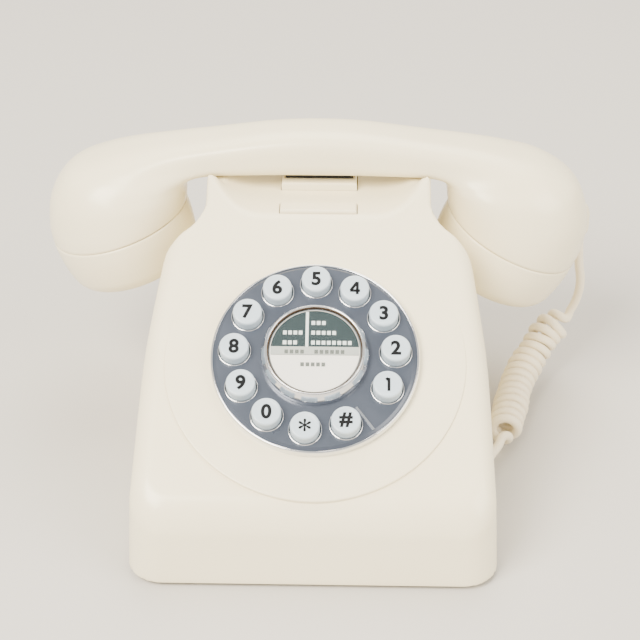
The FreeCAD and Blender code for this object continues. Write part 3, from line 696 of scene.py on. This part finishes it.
# ---------------------------------------------------------------- curly cord
@dataclass
class CurlyCord:
    """The handset cord: a straight lead, the curl, and a lead to the side jack. Metres."""

    upper: tuple = ((0.1193, 0.0576, 0.0745), (0.1197, 0.0576, 0.061), (0.1226, 0.0574, 0.047),
                    (0.1193, 0.057, 0.033))
    coil: tuple = ((0.112, 0.054, 0.0275), (0.106, 0.050, 0.024), (0.102, 0.044, 0.019),
                   (0.0962, 0.036, 0.0145), (0.0912, 0.024, 0.0116), (0.0882, 0.010, 0.0103),
                   (0.0847, -0.005, 0.0094), (0.0815, -0.017, 0.009))
    lower: tuple = ((0.0794, -0.022, 0.0092), (0.0762, -0.0281, 0.0097), (0.06854, -0.04456, 0.0097))
    wire: float = 0.0042
    across: float = 0.016
    pitch: float = 0.0049
    length: float = 0.665
    sides: int = 12
    turn_steps: int = 28

    def route(self) -> np.ndarray:
        """Return the smooth centre line, read from a NURBS spline through the route."""
        points = [*self.upper, *self.coil, *self.lower]
        curve = bpy.data.curves.new("cord_route", "CURVE")
        curve.dimensions = "3D"
        curve.resolution_u = 24
        spline = curve.splines.new("NURBS")
        spline.points.add(len(points) - 1)
        for knot, place in zip(spline.points, points):
            knot.co = (*place, 1.0)
        spline.order_u = 3
        spline.use_endpoint_u = True
        holder = linked("cord_route", curve)
        line = evaluated(holder)
        found = np.array([v.co for v in line.vertices])
        bpy.data.objects.remove(holder)
        return found

    def spaced(self, line: np.ndarray, step: float) -> np.ndarray:
        """Return points a step apart along a line.

        Args:
            line: its corners.
            step: the spacing, in metres.

        Returns:
            The evenly spaced points.
        """
        far = np.concatenate([[0.0], np.cumsum(np.linalg.norm(np.diff(line, axis=0), axis=1))])
        at = np.linspace(0.0, far[-1], max(2, int(far[-1] / step)))
        return np.stack([np.interp(at, far, line[:, i]) for i in range(3)], axis=1)

    def frames(self, line: np.ndarray) -> tuple[np.ndarray, np.ndarray]:
        """Return two directions square to a line that turn as little as they can.

        Args:
            line: its points.

        Returns:
            The two directions at each point.
        """
        along = np.gradient(line, axis=0)
        along /= np.linalg.norm(along, axis=1)[:, None]
        first = np.zeros_like(line)
        guess = np.array([1.0, 0.0, 0.0])
        for i, way in enumerate(along):
            guess = guess - way * (guess @ way)
            guess /= np.linalg.norm(guess)
            first[i] = guess
        return first, np.cross(along, first)

    def helix(self) -> np.ndarray:
        """Wind the wire round the middle stretch of the route, and leave the leads straight."""
        line = self.spaced(self.route(), self.pitch / self.turn_steps)
        first, second = self.frames(line)
        begin = int(np.argmin(np.linalg.norm(line - np.array(self.upper[-1]), axis=1)))
        end = int(np.argmin(np.linalg.norm(line - np.array(self.coil[-1]), axis=1)))
        step = np.arange(len(line))
        ease = self.turn_steps * 2.4
        rise = np.clip((step - begin) / ease, 0, 1) * np.clip((end - step) / ease, 0, 1)
        turn = 2 * math.pi * np.cumsum(rise) / self.turn_steps
        radius = (self.across - self.wire) / 2 * rise * rise * (3 - 2 * rise)
        radius = radius * (1 + 0.035 * np.sin(turn / 5.3) + 0.02 * np.sin(turn / 2.9 + 1.0))
        offset = first * np.cos(turn)[:, None] + second * np.sin(turn)[:, None]
        return self.spaced(line + offset * radius[:, None], 0.0012)

    def build(self, grommet: bpy.types.Object) -> None:
        """Args:
            grommet: the collar that the cord leaves the handset through. Not used.
        """
        line = self.helix()
        first, second = self.frames(line)
        turn = np.linspace(0, 2 * math.pi, self.sides, endpoint=False)
        ring = first[:, None] * np.cos(turn)[:, None] + second[:, None] * np.sin(turn)[:, None]
        points = (line[:, None] + ring * self.wire / 2).reshape(-1, 3) / MM
        piece = keep("handset_cord", skinned(points, self.sides), CORD_VINYL, sharp=60.0)
        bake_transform(piece)
        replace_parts(piece, "cord_upper_lead", "cord_coil", "cord_lower_lead")


# ---------------------------------------------------------------- base cover
def round_max(a: np.ndarray, b: np.ndarray, radius: float | np.ndarray) -> np.ndarray:
    """Keep what two fields share, with a rounded edge.

    Args:
        a: one field.
        b: the other.
        radius: radius of the edge, in millimetres.

    Returns:
        The joined field.
    """
    over = np.hypot(np.maximum(a + radius, 0), np.maximum(b + radius, 0))
    return np.minimum(np.maximum(a, b), -radius) + over


def round_min(a: np.ndarray, b: np.ndarray, radius: float) -> np.ndarray:
    """Join two fields with a rounded hollow between them, as round_max does for an edge."""
    return -round_max(-a, -b, radius)


def blend_step(values: np.ndarray, low: float, high: float) -> np.ndarray:
    """Rise smoothly from 0 to 1 between two values."""
    t = np.clip((values - low) / (high - low), 0, 1)
    return t * t * (3 - 2 * t)


@dataclass
class BaseCover:
    """The one-piece cover: wedge, shoulders, and the cradle turret with its four horns."""

    half_width: float = 75.8
    half_depth: float = 106.0
    crease_height: float = 34.2
    draft: float = 0.0559
    narrowing: float = 0.1211
    narrowing_from: float = -36.0
    ridge_y: float = 6.0
    ridge_z: float = 100.3
    deck_height: float = 57.0
    deck_fall: float = 0.19
    turret_half: float = 48.7
    horn_top: float = 116.5
    saddle_floor: float = 106.2
    saddle_flat: float = 24.0
    saddle_radius: float = 28.65
    channel: tuple = (32.2, 62.7, 111.8)
    recess: tuple = (32.0, 56.0, 62.0, 86.0)
    bottom: float = 2.0
    step: float = 1.3

    def plan(self, x: np.ndarray, y: np.ndarray, z: np.ndarray) -> np.ndarray:
        """Field of the drafted plan: four walls with round corners.

        Args:
            x: places to the right, in millimetres.
            y: places towards the back.
            z: heights.

        Returns:
            The field there, negative inside.
        """
        past = y - self.narrowing_from
        half = self.half_width - self.draft * z - self.narrowing * (np.hypot(past, 12.0) + past) / 2
        side = np.abs(x) - half
        front = -(y + self.half_depth - self.draft * z)
        rear = y - self.half_depth + self.draft * z
        return round_max(round_max(side, front, 14.5), rear, 20.0)

    def tops(self, x: np.ndarray, y: np.ndarray, z: np.ndarray) -> np.ndarray:
        """Field of what lies under the ridge, the rear deck or the turret.

        Args:
            x: places to the right, in millimetres.
            y: places towards the back.
            z: heights.

        Returns:
            The field there, negative inside.
        """
        across = np.abs(x)
        lean, drop = 44.0, 10.0
        back = ((y - self.ridge_y - (63.0 - across) * 0.6) * lean + (z - self.ridge_z) * drop) / 45.1
        deck = (z - self.deck_height + self.deck_fall * (y - 12.0)) * 0.98
        slope = ((y - 66.0) * 50.5 + (z - self.horn_top) * 20.0) / 54.3
        turret = round_max(across - self.turret_half, slope, 5.0)
        return round_min(round_min(back, deck, 9.0), turret, 8.0)

    def saddle(self, x: np.ndarray, z: np.ndarray) -> np.ndarray:
        """Field of what lies under the saddle trough.

        Args:
            x: places to the right, in millimetres.
            z: heights.

        Returns:
            The field there, negative inside.
        """
        across = np.abs(x)
        over = z - self.saddle_floor - self.saddle_radius
        arc = self.saddle_radius - np.hypot(across - self.saddle_flat, over)
        return np.where(across < self.saddle_flat, z - self.saddle_floor, arc)

    def field(self, x: np.ndarray, y: np.ndarray, z: np.ndarray) -> np.ndarray:
        """Field of the whole cover.

        Args:
            x: places to the right, in millimetres.
            y: places towards the back.
            z: heights.

        Returns:
            The field there, negative inside.
        """
        face = ((z - self.crease_height) * math.cos(FACE_SLOPE)
                - (y + self.half_depth) * math.sin(FACE_SLOPE))
        crest = 5.0 - 3.2 * blend_step(z, 97.0, 108.0)
        body = round_max(self.tops(x, y, z), face, crest)
        body = round_max(body, self.plan(x, y, z), 8.5)
        body = round_max(body, self.saddle(x, z), 1.4)
        body = round_max(body, z - self.horn_top, 1.2)
        near, far, floor = self.channel
        body = round_max(body, np.minimum(np.minimum(y - near, far - y), z - floor), 0.7)
        half, start, low, high = self.recess
        pocket = np.minimum(np.minimum(half - np.abs(x), y - start), np.minimum(z - low, high - z))
        body = round_max(body, pocket, 2.5)
        return round_max(body, self.bottom - z, 0.8)

    def cutters(self) -> bpy.types.Object:
        """Tools for the dial opening, the hook slot, the jack recess and the rear windows."""
        jack = shift(66.0, -50.0, 6.4) @ Euler((0, 0, math.radians(-25.0))).to_matrix().to_4x4()
        line = middle("line_socket")
        tools = [
            turned([(0, -12.0), (41.4, -12.0), (41.4, 12.0), (0, 12.0)], FACE, 128),
            rounded_box((34.0, 8.8, 60.0), shift(0.0, 19.9, 92.0), 0.6),
            rounded_box((34.0, 16.8, 60.0), shift(0.0, 44.9, 92.0), 0.6),
            rounded_box((16.0, 46.0, 11.4), jack @ shift(0, 23.0, 3.7), 0.8),
            rounded_box((12.2, 30.0, 8.4), jack @ shift(0, -12.0, 3.2), 0.0),
            rounded_box((13.6, 30.0, 14.4), shift(line.x, 103.0, line.z), 0.5),
        ]
        for node in ("ringer_volume_switch", "tone_pulse_switch"):
            spot = middle(node)
            tools.append(rounded_box((12.0, 14.0, 3.2), shift(spot.x, 103.0, spot.z), 0.4))
        return joined("cutters", tools)

    def build(self) -> None:
        """Skin the cover, cut its openings and add the raised dial plinth."""
        skin = field_mesh(self.field, (-79.0, -109.0, -1.0), (79.0, 109.0, 119.0), self.step)
        cover = keep("cover_shell", skin, IVORY)
        carve(cover, self.cutters(), sharp=35.0)
        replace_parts(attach(cover, "base"), "base_cover")
        tilt = FACE @ Euler((math.radians(-0.95), 0.0, 0.0)).to_matrix().to_4x4()
        outline = softened([(41.5, 0.3), (41.5, 0.46), (62.4, 0.46), (62.4, -2.2), (41.5, -2.2),
                            (41.5, 0.3)], 0.7)
        plinth = keep("dial_plinth", turned(outline[:-1], tilt, 192, closed=True), IVORY, sharp=60.0)
        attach(plinth, "base")


# ---------------------------------------------------------------- dial
@dataclass
class Dial:
    """Rim, well rings, bezel, buttons with their figures, and the redial disc."""

    circle: float = 33.15
    step: float = 29.03
    figures: tuple = (("1", "1"), ("2", "2"), ("3", "3"), ("4", "4"), ("5", "5"), ("6", "6"), ("7", "7"),
                      ("8", "8"), ("9", "9"), ("0", "0"), ("star", "*"), ("hash", "#"))
    button_radius: float = 6.05
    button_top: float = 10.0
    dish: float = 0.35
    figure_height: float = 6.1
    stroke: float = 1.2
    print_radius: float = 18.2
    font_scale: float = 1.38
    star_scale: float = 1.95
    weight: float = 0.3
    star_weight: float = 0.14
    drawn: ClassVar[dict] = {"1": (((0.3, -2.9), (0.3, 2.9)), ((0.1, 2.75), (-0.9, 2.1))),
                             "4": (((0.95, -2.9), (0.95, 2.9)), ((-2.1, -1.2), (2.1, -1.2)),
                                   ((0.8, 2.75), (-1.8, -1.1)))}

    def build(self) -> None:
        """Make every piece of the dial."""
        self.fixed_rings()
        for place, (label, figure) in enumerate(self.figures, start=-4):
            self.button(place, label, figure)
        self.redial()

    def fixed_rings(self) -> None:
        """Make the rim, the bezel with its painted shadow line, and the ring round each button."""
        rim = softened([(41.95, 3.0), (41.95, 4.4), (42.7, 4.4), (43.3, 3.2), (43.3, -0.7), (41.95, -0.7),
                        (41.95, 3.0)], 0.5)
        self.ring("rim_bright", rim, CHROME, "dial_rim_trim")
        bezel = softened([(19.42, 7.0), (19.42, 10.6), (19.9, 11.0), (20.7, 10.2), (21.9, 8.3), (22.3, 7.3),
                          (22.3, 4.7), (19.42, 4.7), (19.42, 7.0)], 0.45)
        self.ring("bezel_bright", bezel, CHROME, "centre_bezel")
        # Painted shade: a thin dark ring that fills the gap between the lens and the bezel and stands in for
        # the shadow there.
        line = [(19.12, 5.0), (19.4, 5.0), (19.4, 10.35), (19.12, 10.35)]
        self.ring("bezel_shadow_line", line, PAINTED_SHADOW_RING)
        well = softened([(6.55, 0.1), (6.55, 0.3), (6.8, 0.22), (6.95, 0.0), (6.55, -0.2), (6.55, 0.1)], 0.1)
        unit = turned(well, Matrix(), 48, closed=True)
        wells = repeated("well_rings", unit, Pattern.ARC, FACE @ shift(0, 0, 4.8), CHROME, 12, self.circle,
                         90.0 - 4 * self.step, self.step)
        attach(wells, "base")

    def ring(self, name: str, outline: Sequence[Point2], finish: Finish, node: str | None = None) -> None:
        """Turn one closed ring of the dial.

        Args:
            name: the piece's name.
            outline: its closed outline.
            finish: its finish.
            node: the CAD node that it stands for, if any.
        """
        piece = keep(name, turned(outline, FACE, 160, closed=True), finish, sharp=50.0)
        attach(piece, "base")
        if node:
            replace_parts(piece, node)

    def spot(self, place: int) -> Matrix:
        """Return the frame of a button, counted anticlockwise from the top."""
        turn = math.radians(self.step * place)
        return FACE @ shift(-self.circle * math.sin(turn), self.circle * math.cos(turn), 0.0)

    def button(self, place: int, label: str, figure: str) -> None:
        """Make one dished button and the figure printed on it.

        Args:
            place: steps from the top.
            label: the button's name.
            figure: the character on it.
        """
        body = f"button_{label}"
        edge, top = self.button_radius, self.button_top
        outline = [(0, -1.0), (7.0, -1.0), (7.0, 0.2), (edge, 0.2), (edge, top - 0.9),
                   (edge - 0.3, top - 0.2), (edge - 0.9, top), (edge - 1.9, top - self.dish * 0.6),
                   (1.5, top - self.dish), (0, top - self.dish)]
        cap = keep(f"cap_{label}", turned(softened(outline, 0.4), self.spot(place), 64), BUTTON, sharp=60.0)
        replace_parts(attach(cap, body), body)
        star = figure == "*"
        text = bpy.data.curves.new("figure", "FONT")
        text.body, text.size = figure, self.figure_height * (self.star_scale if star else self.font_scale)
        text.align_x, text.align_y = "CENTER", "CENTER"
        text.extrude, text.resolution_u = 0.0, 6
        text.offset = self.star_weight if star else self.weight
        holder = linked("figure", text)
        mesh = evaluated(holder)
        bpy.data.objects.remove(holder)
        if figure in self.drawn:
            mesh = self.strokes(self.drawn[figure])
        self.settle(mesh)
        mesh.transform(Matrix.Scale(MM, 4) @ self.spot(place))
        printed = keep(f"figure_{label}", mesh, INK)
        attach(printed, body)

    def strokes(self, bars: Sequence[tuple[Point2, Point2]]) -> bpy.types.Mesh:
        """Draw a figure of straight bars, where the font's own has a closed eye or no flag.

        Args:
            bars: the two ends of each bar, in millimetres.

        Returns:
            The flat figure.
        """
        points, faces = [], []
        for start, end in bars:
            way = (Vector(end) - Vector(start)).normalized() * self.stroke / 2
            side = Vector((-way.y, way.x))
            faces.append(tuple(range(len(points), len(points) + 4)))
            points += [Vector(start) - side, Vector(end) - side, Vector(end) + side, Vector(start) + side]
        mesh = bpy.data.meshes.new("bars")
        mesh.from_pydata([(*p, 0.0) for p in points], [], faces)
        return mesh

    def settle(self, mesh: bpy.types.Mesh) -> None:
        """Centre a figure, give it a thin body and lay it in the button's dish.

        Args:
            mesh: the flat figure, in millimetres.
        """
        work = bmesh.new()
        work.from_mesh(mesh)
        bmesh.ops.remove_doubles(work, verts=work.verts, dist=0.001)
        low = Vector([min(v.co[i] for v in work.verts) for i in range(3)])
        high = Vector([max(v.co[i] for v in work.verts) for i in range(3)])
        centre = (low + high) / 2
        for corner in work.verts:
            corner.co -= centre
            corner.co.z = self.button_top - self.dish + 0.14
        grown = bmesh.ops.extrude_face_region(work, geom=list(work.faces))
        for corner in (g for g in grown["geom"] if isinstance(g, bmesh.types.BMVert)):
            corner.co.z -= 0.3
        bmesh.ops.recalc_face_normals(work, faces=work.faces)
        work.to_mesh(mesh)
        work.free()

    def redial(self) -> None:
        """Make the printed card and the domed clear lens of the redial disc."""
        level = 9.5
        self.print_patch("card_panel", 1.8, level, CARD_GREEN)
        self.print_bar("card_band", (0.0, 0.0), (36.2, 3.6), level, CARD_BAND)
        self.print_bar("card_rule", (-3.3, 9.7), (1.2, 15.8), level + 0.05, CARD_MARK)
        self.print_bar("card_line", (0.0, -1.9), (36.0, 0.16), level + 0.05, CARD_GREY)
        rows = (("left_b", -12.4, 8.1, 4, CARD_MARK), ("left_c", -12.4, 3.6, 3, CARD_MARK),
                ("right_a", -0.8, 12.6, 3, CARD_MARK), ("right_b", -0.8, 8.1, 5, CARD_MARK),
                ("right_c", -0.8, 3.6, 8, CARD_MARK), ("band_a", -11.6, -0.5, 4, CARD_GREY),
                ("band_b", 0.6, -0.5, 6, CARD_GREY), ("lower", -5.0, -6.2, 5, CARD_GREY))
        for name, start, across, count, finish in rows:
            unit = rounded_box((1.5, 1.75, 0.06), Matrix(), 0.0)
            marks = repeated(f"card_marks_{name}", unit, Pattern.ROW, FACE @ shift(0, 0, level + 0.09),
                             finish, count, across, start, 2.15)
            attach(marks, "redial")
        lens = softened([(0, level + 0.3), (18.7, level + 0.3), (19.0, level + 0.5), (19.0, 10.25),
                         (18.4, 10.62), (12.0, 10.85), (5.0, 10.95), (0, 10.96)], 1.2)
        glass = keep("lens_clear", turned(lens, FACE, 128), ACRYLIC, sharp=60.0)
        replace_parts(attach(glass, "redial"), "card_lens")

    def print_patch(self, name: str, height: float, level: float, finish: Finish) -> None:
        """Print the part of the card's disc above a level chord.

        Args:
            name: the piece's name.
            height: the chord's height over the disc's middle.
            level: height of the print.
            finish: its ink.
        """
        radius, count = self.print_radius, 64
        start = math.asin(height / radius)
        sweep = math.pi - 2 * start
        turns = [start + sweep * i / count for i in range(count + 1)]
        self.flat_piece(name, [(radius * math.cos(t), radius * math.sin(t)) for t in turns], level, finish)

    def print_bar(self, name: str, centre: Point2, size: Point2, level: float, finish: Finish) -> None:
        """Print a plain bar on the card.

        Args:
            name: the piece's name.
            centre: its middle.
            size: its length and height.
            level: height of the print.
            finish: its ink.
        """
        left, right = centre[0] - size[0] / 2, centre[0] + size[0] / 2
        low, high = centre[1] - size[1] / 2, centre[1] + size[1] / 2
        self.flat_piece(name, [(left, low), (right, low), (right, high), (left, high)], level, finish)

    def flat_piece(self, name: str, edge: Sequence[Point2], level: float, finish: Finish) -> None:
        """Raise a flat outline by the thickness of ink.

        Args:
            name: the piece's name.
            edge: its outline.
            level: height of its underside.
            finish: its ink.
        """
        count, thick = len(edge), 0.05
        points = [(x, y, level) for x, y in edge] + [(x, y, level + thick) for x, y in edge]
        faces = [tuple(range(count)), tuple(range(count, 2 * count))]
        faces += [(i, (i + 1) % count, count + (i + 1) % count, count + i) for i in range(count)]
        piece = keep(name, mesh_of(points, faces, FACE), finish)
        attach(piece, "redial")


# ---------------------------------------------------------------- handset
@dataclass(frozen=True)
class Section:
    """One cut across the handle: its inner and outer point, half width and squareness."""

    inner: Point2
    outer: Point2
    half: float
    square: float

    def numbers(self) -> np.ndarray:
        """Return the section as six numbers, for drawing smooth sections between."""
        return np.array([*self.inner, *self.outer, self.half, self.square])


@dataclass
class Handset:
    """Handle, two caps with sound holes, and the cord's collar."""

    seam_radius: float = 32.0
    ear_tilt: float = -17.5
    mouth_tilt: float = 25.0
    ear_seam: Point2 = (-90.6, 86.4)
    mouth_seam: Point2 = (86.8, 81.5)
    ear_head: tuple = (
        Section((-59.6, 99.0), (-122.2, 86.0), 31.7, 2.0),
        Section((-59.4, 104.0), (-120.2, 100.0), 29.8, 2.1),
        Section((-58.2, 107.8), (-112.6, 111.4), 25.6, 2.25),
        Section((-55.6, 110.2), (-99.2, 117.8), 21.2, 2.5),
        Section((-51.8, 111.6), (-84.6, 122.0), 17.6, 2.8))
    mouth_head: tuple = (
        Section((57.2, 98.6), (119.2, 77.5), 31.8, 2.0), Section((56.6, 104.0), (120.2, 91.0), 30.2, 2.1),
        Section((55.6, 107.8), (115.0, 106.0), 27.0, 2.25), Section((54.0, 110.2), (102.0, 116.0), 22.0, 2.5),
        Section((51.0, 111.6), (85.8, 121.4), 17.8, 2.8))
    cap_outline: tuple = ((0, 3.0), (28.0, 3.0), (28.0, 0.3), (31.6, 0.3), (32.0, 0.9), (32.0, 7.0),
                          (31.2, 14.0), (30.0, 19.5), (27.8, 23.0), (24.0, 25.0), (20.5, 24.75), (0, 24.4))
    collar_place: Point3 = (119.3, 57.6, 74.5)
    underside: float = 112.1
    sides: int = 88
    between: int = 9

    def seam(self, place: Point2, tilt: float) -> Section:
        """Return the round section where a cap meets the handle.

        Args:
            place: its middle, across and up.
            tilt: signed lean of the cap's axis, in degrees.

        Returns:
            The section.
        """
        lean, side = math.radians(abs(tilt)), math.copysign(1.0, place[0])
        across, rise = side * math.cos(lean) * self.seam_radius, math.sin(lean) * self.seam_radius
        x, z = place
        return Section((x - across, z + rise), (x + across, z - rise), self.seam_radius, 2.0)

    def arm(self, side: float) -> list[Section]:
        """Return the sections of one half of the straight handle, from its head inwards."""
        rows = ((45.0, 68.0, 125.2, 15.2, 3.0), (34.0, 46.0, 128.3, 14.2, 3.2),
                (17.0, 20.0, 131.8, 13.9, 3.2))
        return [Section((side * low, self.underside), (side * high, top), half, square)
                for low, high, top, half, square in rows]

    def chain(self) -> np.ndarray:
        """Return smooth sections from the ear seam to the mouth seam."""
        centre = Section((0.0, self.underside), (0.0, 132.7), 13.9, 3.2)
        ear = [self.seam(self.ear_seam, self.ear_tilt), *self.ear_head, *self.arm(-1.0)]
        mouth = [self.seam(self.mouth_seam, self.mouth_tilt), *self.mouth_head, *self.arm(1.0)]
        rows = np.array([section.numbers() for section in (*ear, centre, *mouth[::-1])])
        padded = np.vstack([2 * rows[0] - rows[1], rows, 2 * rows[-1] - rows[-2]])
        smooth = []
        for a, b, c, d in zip(padded, padded[1:], padded[2:], padded[3:]):
            for i in range(self.between):
                t = i / self.between
                smooth.append(0.5 * (2 * b + (c - a) * t + (2 * a - 5 * b + 4 * c - d) * t * t
                                     + (3 * b - a - 3 * c + d) * t ** 3))
        smooth.append(rows[-1])
        return np.array(smooth)

    def ring(self, row: np.ndarray, shrink: float = 0.0) -> list[Point3]:
        """Return the points of one section.

        Args:
            row: the section's six numbers.
            shrink: how far inside the section's edge, in millimetres.

        Returns:
            The points, in millimetres.
        """
        inner, outer, (half, square) = row[:2], row[2:4], row[4:]
        centre, reach = (inner + outer) / 2, (outer - inner) / 2
        size = np.linalg.norm(reach)
        way = reach / size
        points = []
        for i in range(self.sides):
            turn = 2 * math.pi * i / self.sides
            up = math.copysign(abs(math.cos(turn)) ** (2 / square), math.cos(turn)) * (size - shrink)
            out = math.copysign(abs(math.sin(turn)) ** (2 / square), math.sin(turn)) * (half - shrink)
            points.append((centre[0] + way[0] * up, HANDLE_Y + out, centre[1] + way[1] * up))
        return points

    def handle(self) -> None:
        """Skin the handle from seam to seam, with rounded seam edges."""
        rows = self.chain()
        rings = [self.ring(rows[0], 2.4), self.ring(rows[0], 0.5)]
        rings += [self.ring(row) for row in rows[1:-1]]
        rings += [self.ring(rows[-1], 0.5), self.ring(rows[-1], 2.4)]
        points = [p for ring in rings for p in ring]
        piece = keep("handle_shell", skinned(points, self.sides), IVORY, sharp=50.0)
        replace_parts(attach(piece, "handset"), "handset_handle")

    def cap(self, node: str, place: Point2, tilt: float, rings: Sequence[tuple[float, int]]) -> None:
        """Turn one cap and drill its sound holes.

        Args:
            node: the CAD node that it stands for.
            place: middle of its seam, across and up.
            tilt: signed lean of its axis from straight down, in degrees.
            rings: radius and count of each ring of holes.
        """
        turn = Euler((0.0, math.radians(180.0 + tilt), 0.0)).to_matrix().to_4x4()
        seat = shift(place[0], HANDLE_Y, place[1]) @ turn
        cap = keep(f"{node}_shell", turned(softened(self.cap_outline, 2.6, 6), seat, 128), IVORY, sharp=45.0)
        drills = []
        for radius, count in ((0.0, 1), *rings):
            unit = turned([(0, 0), (1.1, 0), (1.1, 8.0), (0, 8.0)], Matrix(), 16)
            drill = repeated("drill", unit, Pattern.ARC, seat @ shift(0, 0, 22.4), IVORY, count, radius, 0.0,
                             360.0 / count)
            drills.append(drill.data)
            bpy.data.objects.remove(drill)
        carve(cap, joined("holes", drills), sharp=45.0)
        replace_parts(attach(cap, "handset"), node)

    def grommet(self) -> bpy.types.Object:
        """Turn the collar that the cord leaves the handset through."""
        outline = softened([(0, 0), (2.7, 0), (3.3, 0.4), (4.0, 2.2), (4.0, 11.0), (2.6, 14.6),
                            (0, 16.0)], 1.6, 5)
        collar = keep("cord_collar", turned(outline, shift(*self.collar_place), 48), IVORY, sharp=60.0)
        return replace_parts(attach(collar, "handset"), "cord_grommet")

    def build(self) -> bpy.types.Object:
        """Make the handset and return its cord collar."""
        self.handle()
        self.cap("earpiece_cap", self.ear_seam, self.ear_tilt, ((6.0, 6), (12.0, 12)))
        self.cap("mouthpiece_cap", self.mouth_seam, self.mouth_tilt, ((6.0, 6), (12.0, 12), (18.0, 18)))
        return self.grommet()


# ---------------------------------------------------------------- CAD nodes that stay as they are
@dataclass
class PlainNodes:
    """Finishes for the CAD nodes, shown or hidden, by their slot in the record."""

    def build(self) -> None:
        """Give every CAD node the finish of its slot."""
        slots = {part["node"]: part["material_slot"] for part in frame["record"]["subparts"]}
        for name, node in frame["nodes"].items():
            material = SLOT_FINISHES[slots[name]].build()
            node.data.materials.clear()
            node.data.materials.append(material)
            LOG.info("%s: %s", name, material.name)


def main() -> None:
    """Build the camera and the cord first, then the rest of the phone."""
    logging.basicConfig(level=logging.INFO, format="%(message)s")
    View().build()
    handset = Handset()
    collar = handset.build()
    CurlyCord().build(collar)
    PlainNodes().build()
    BaseCover().build()
    Dial().build()
    Studio().build()


if __name__ == "__main__":
    main()
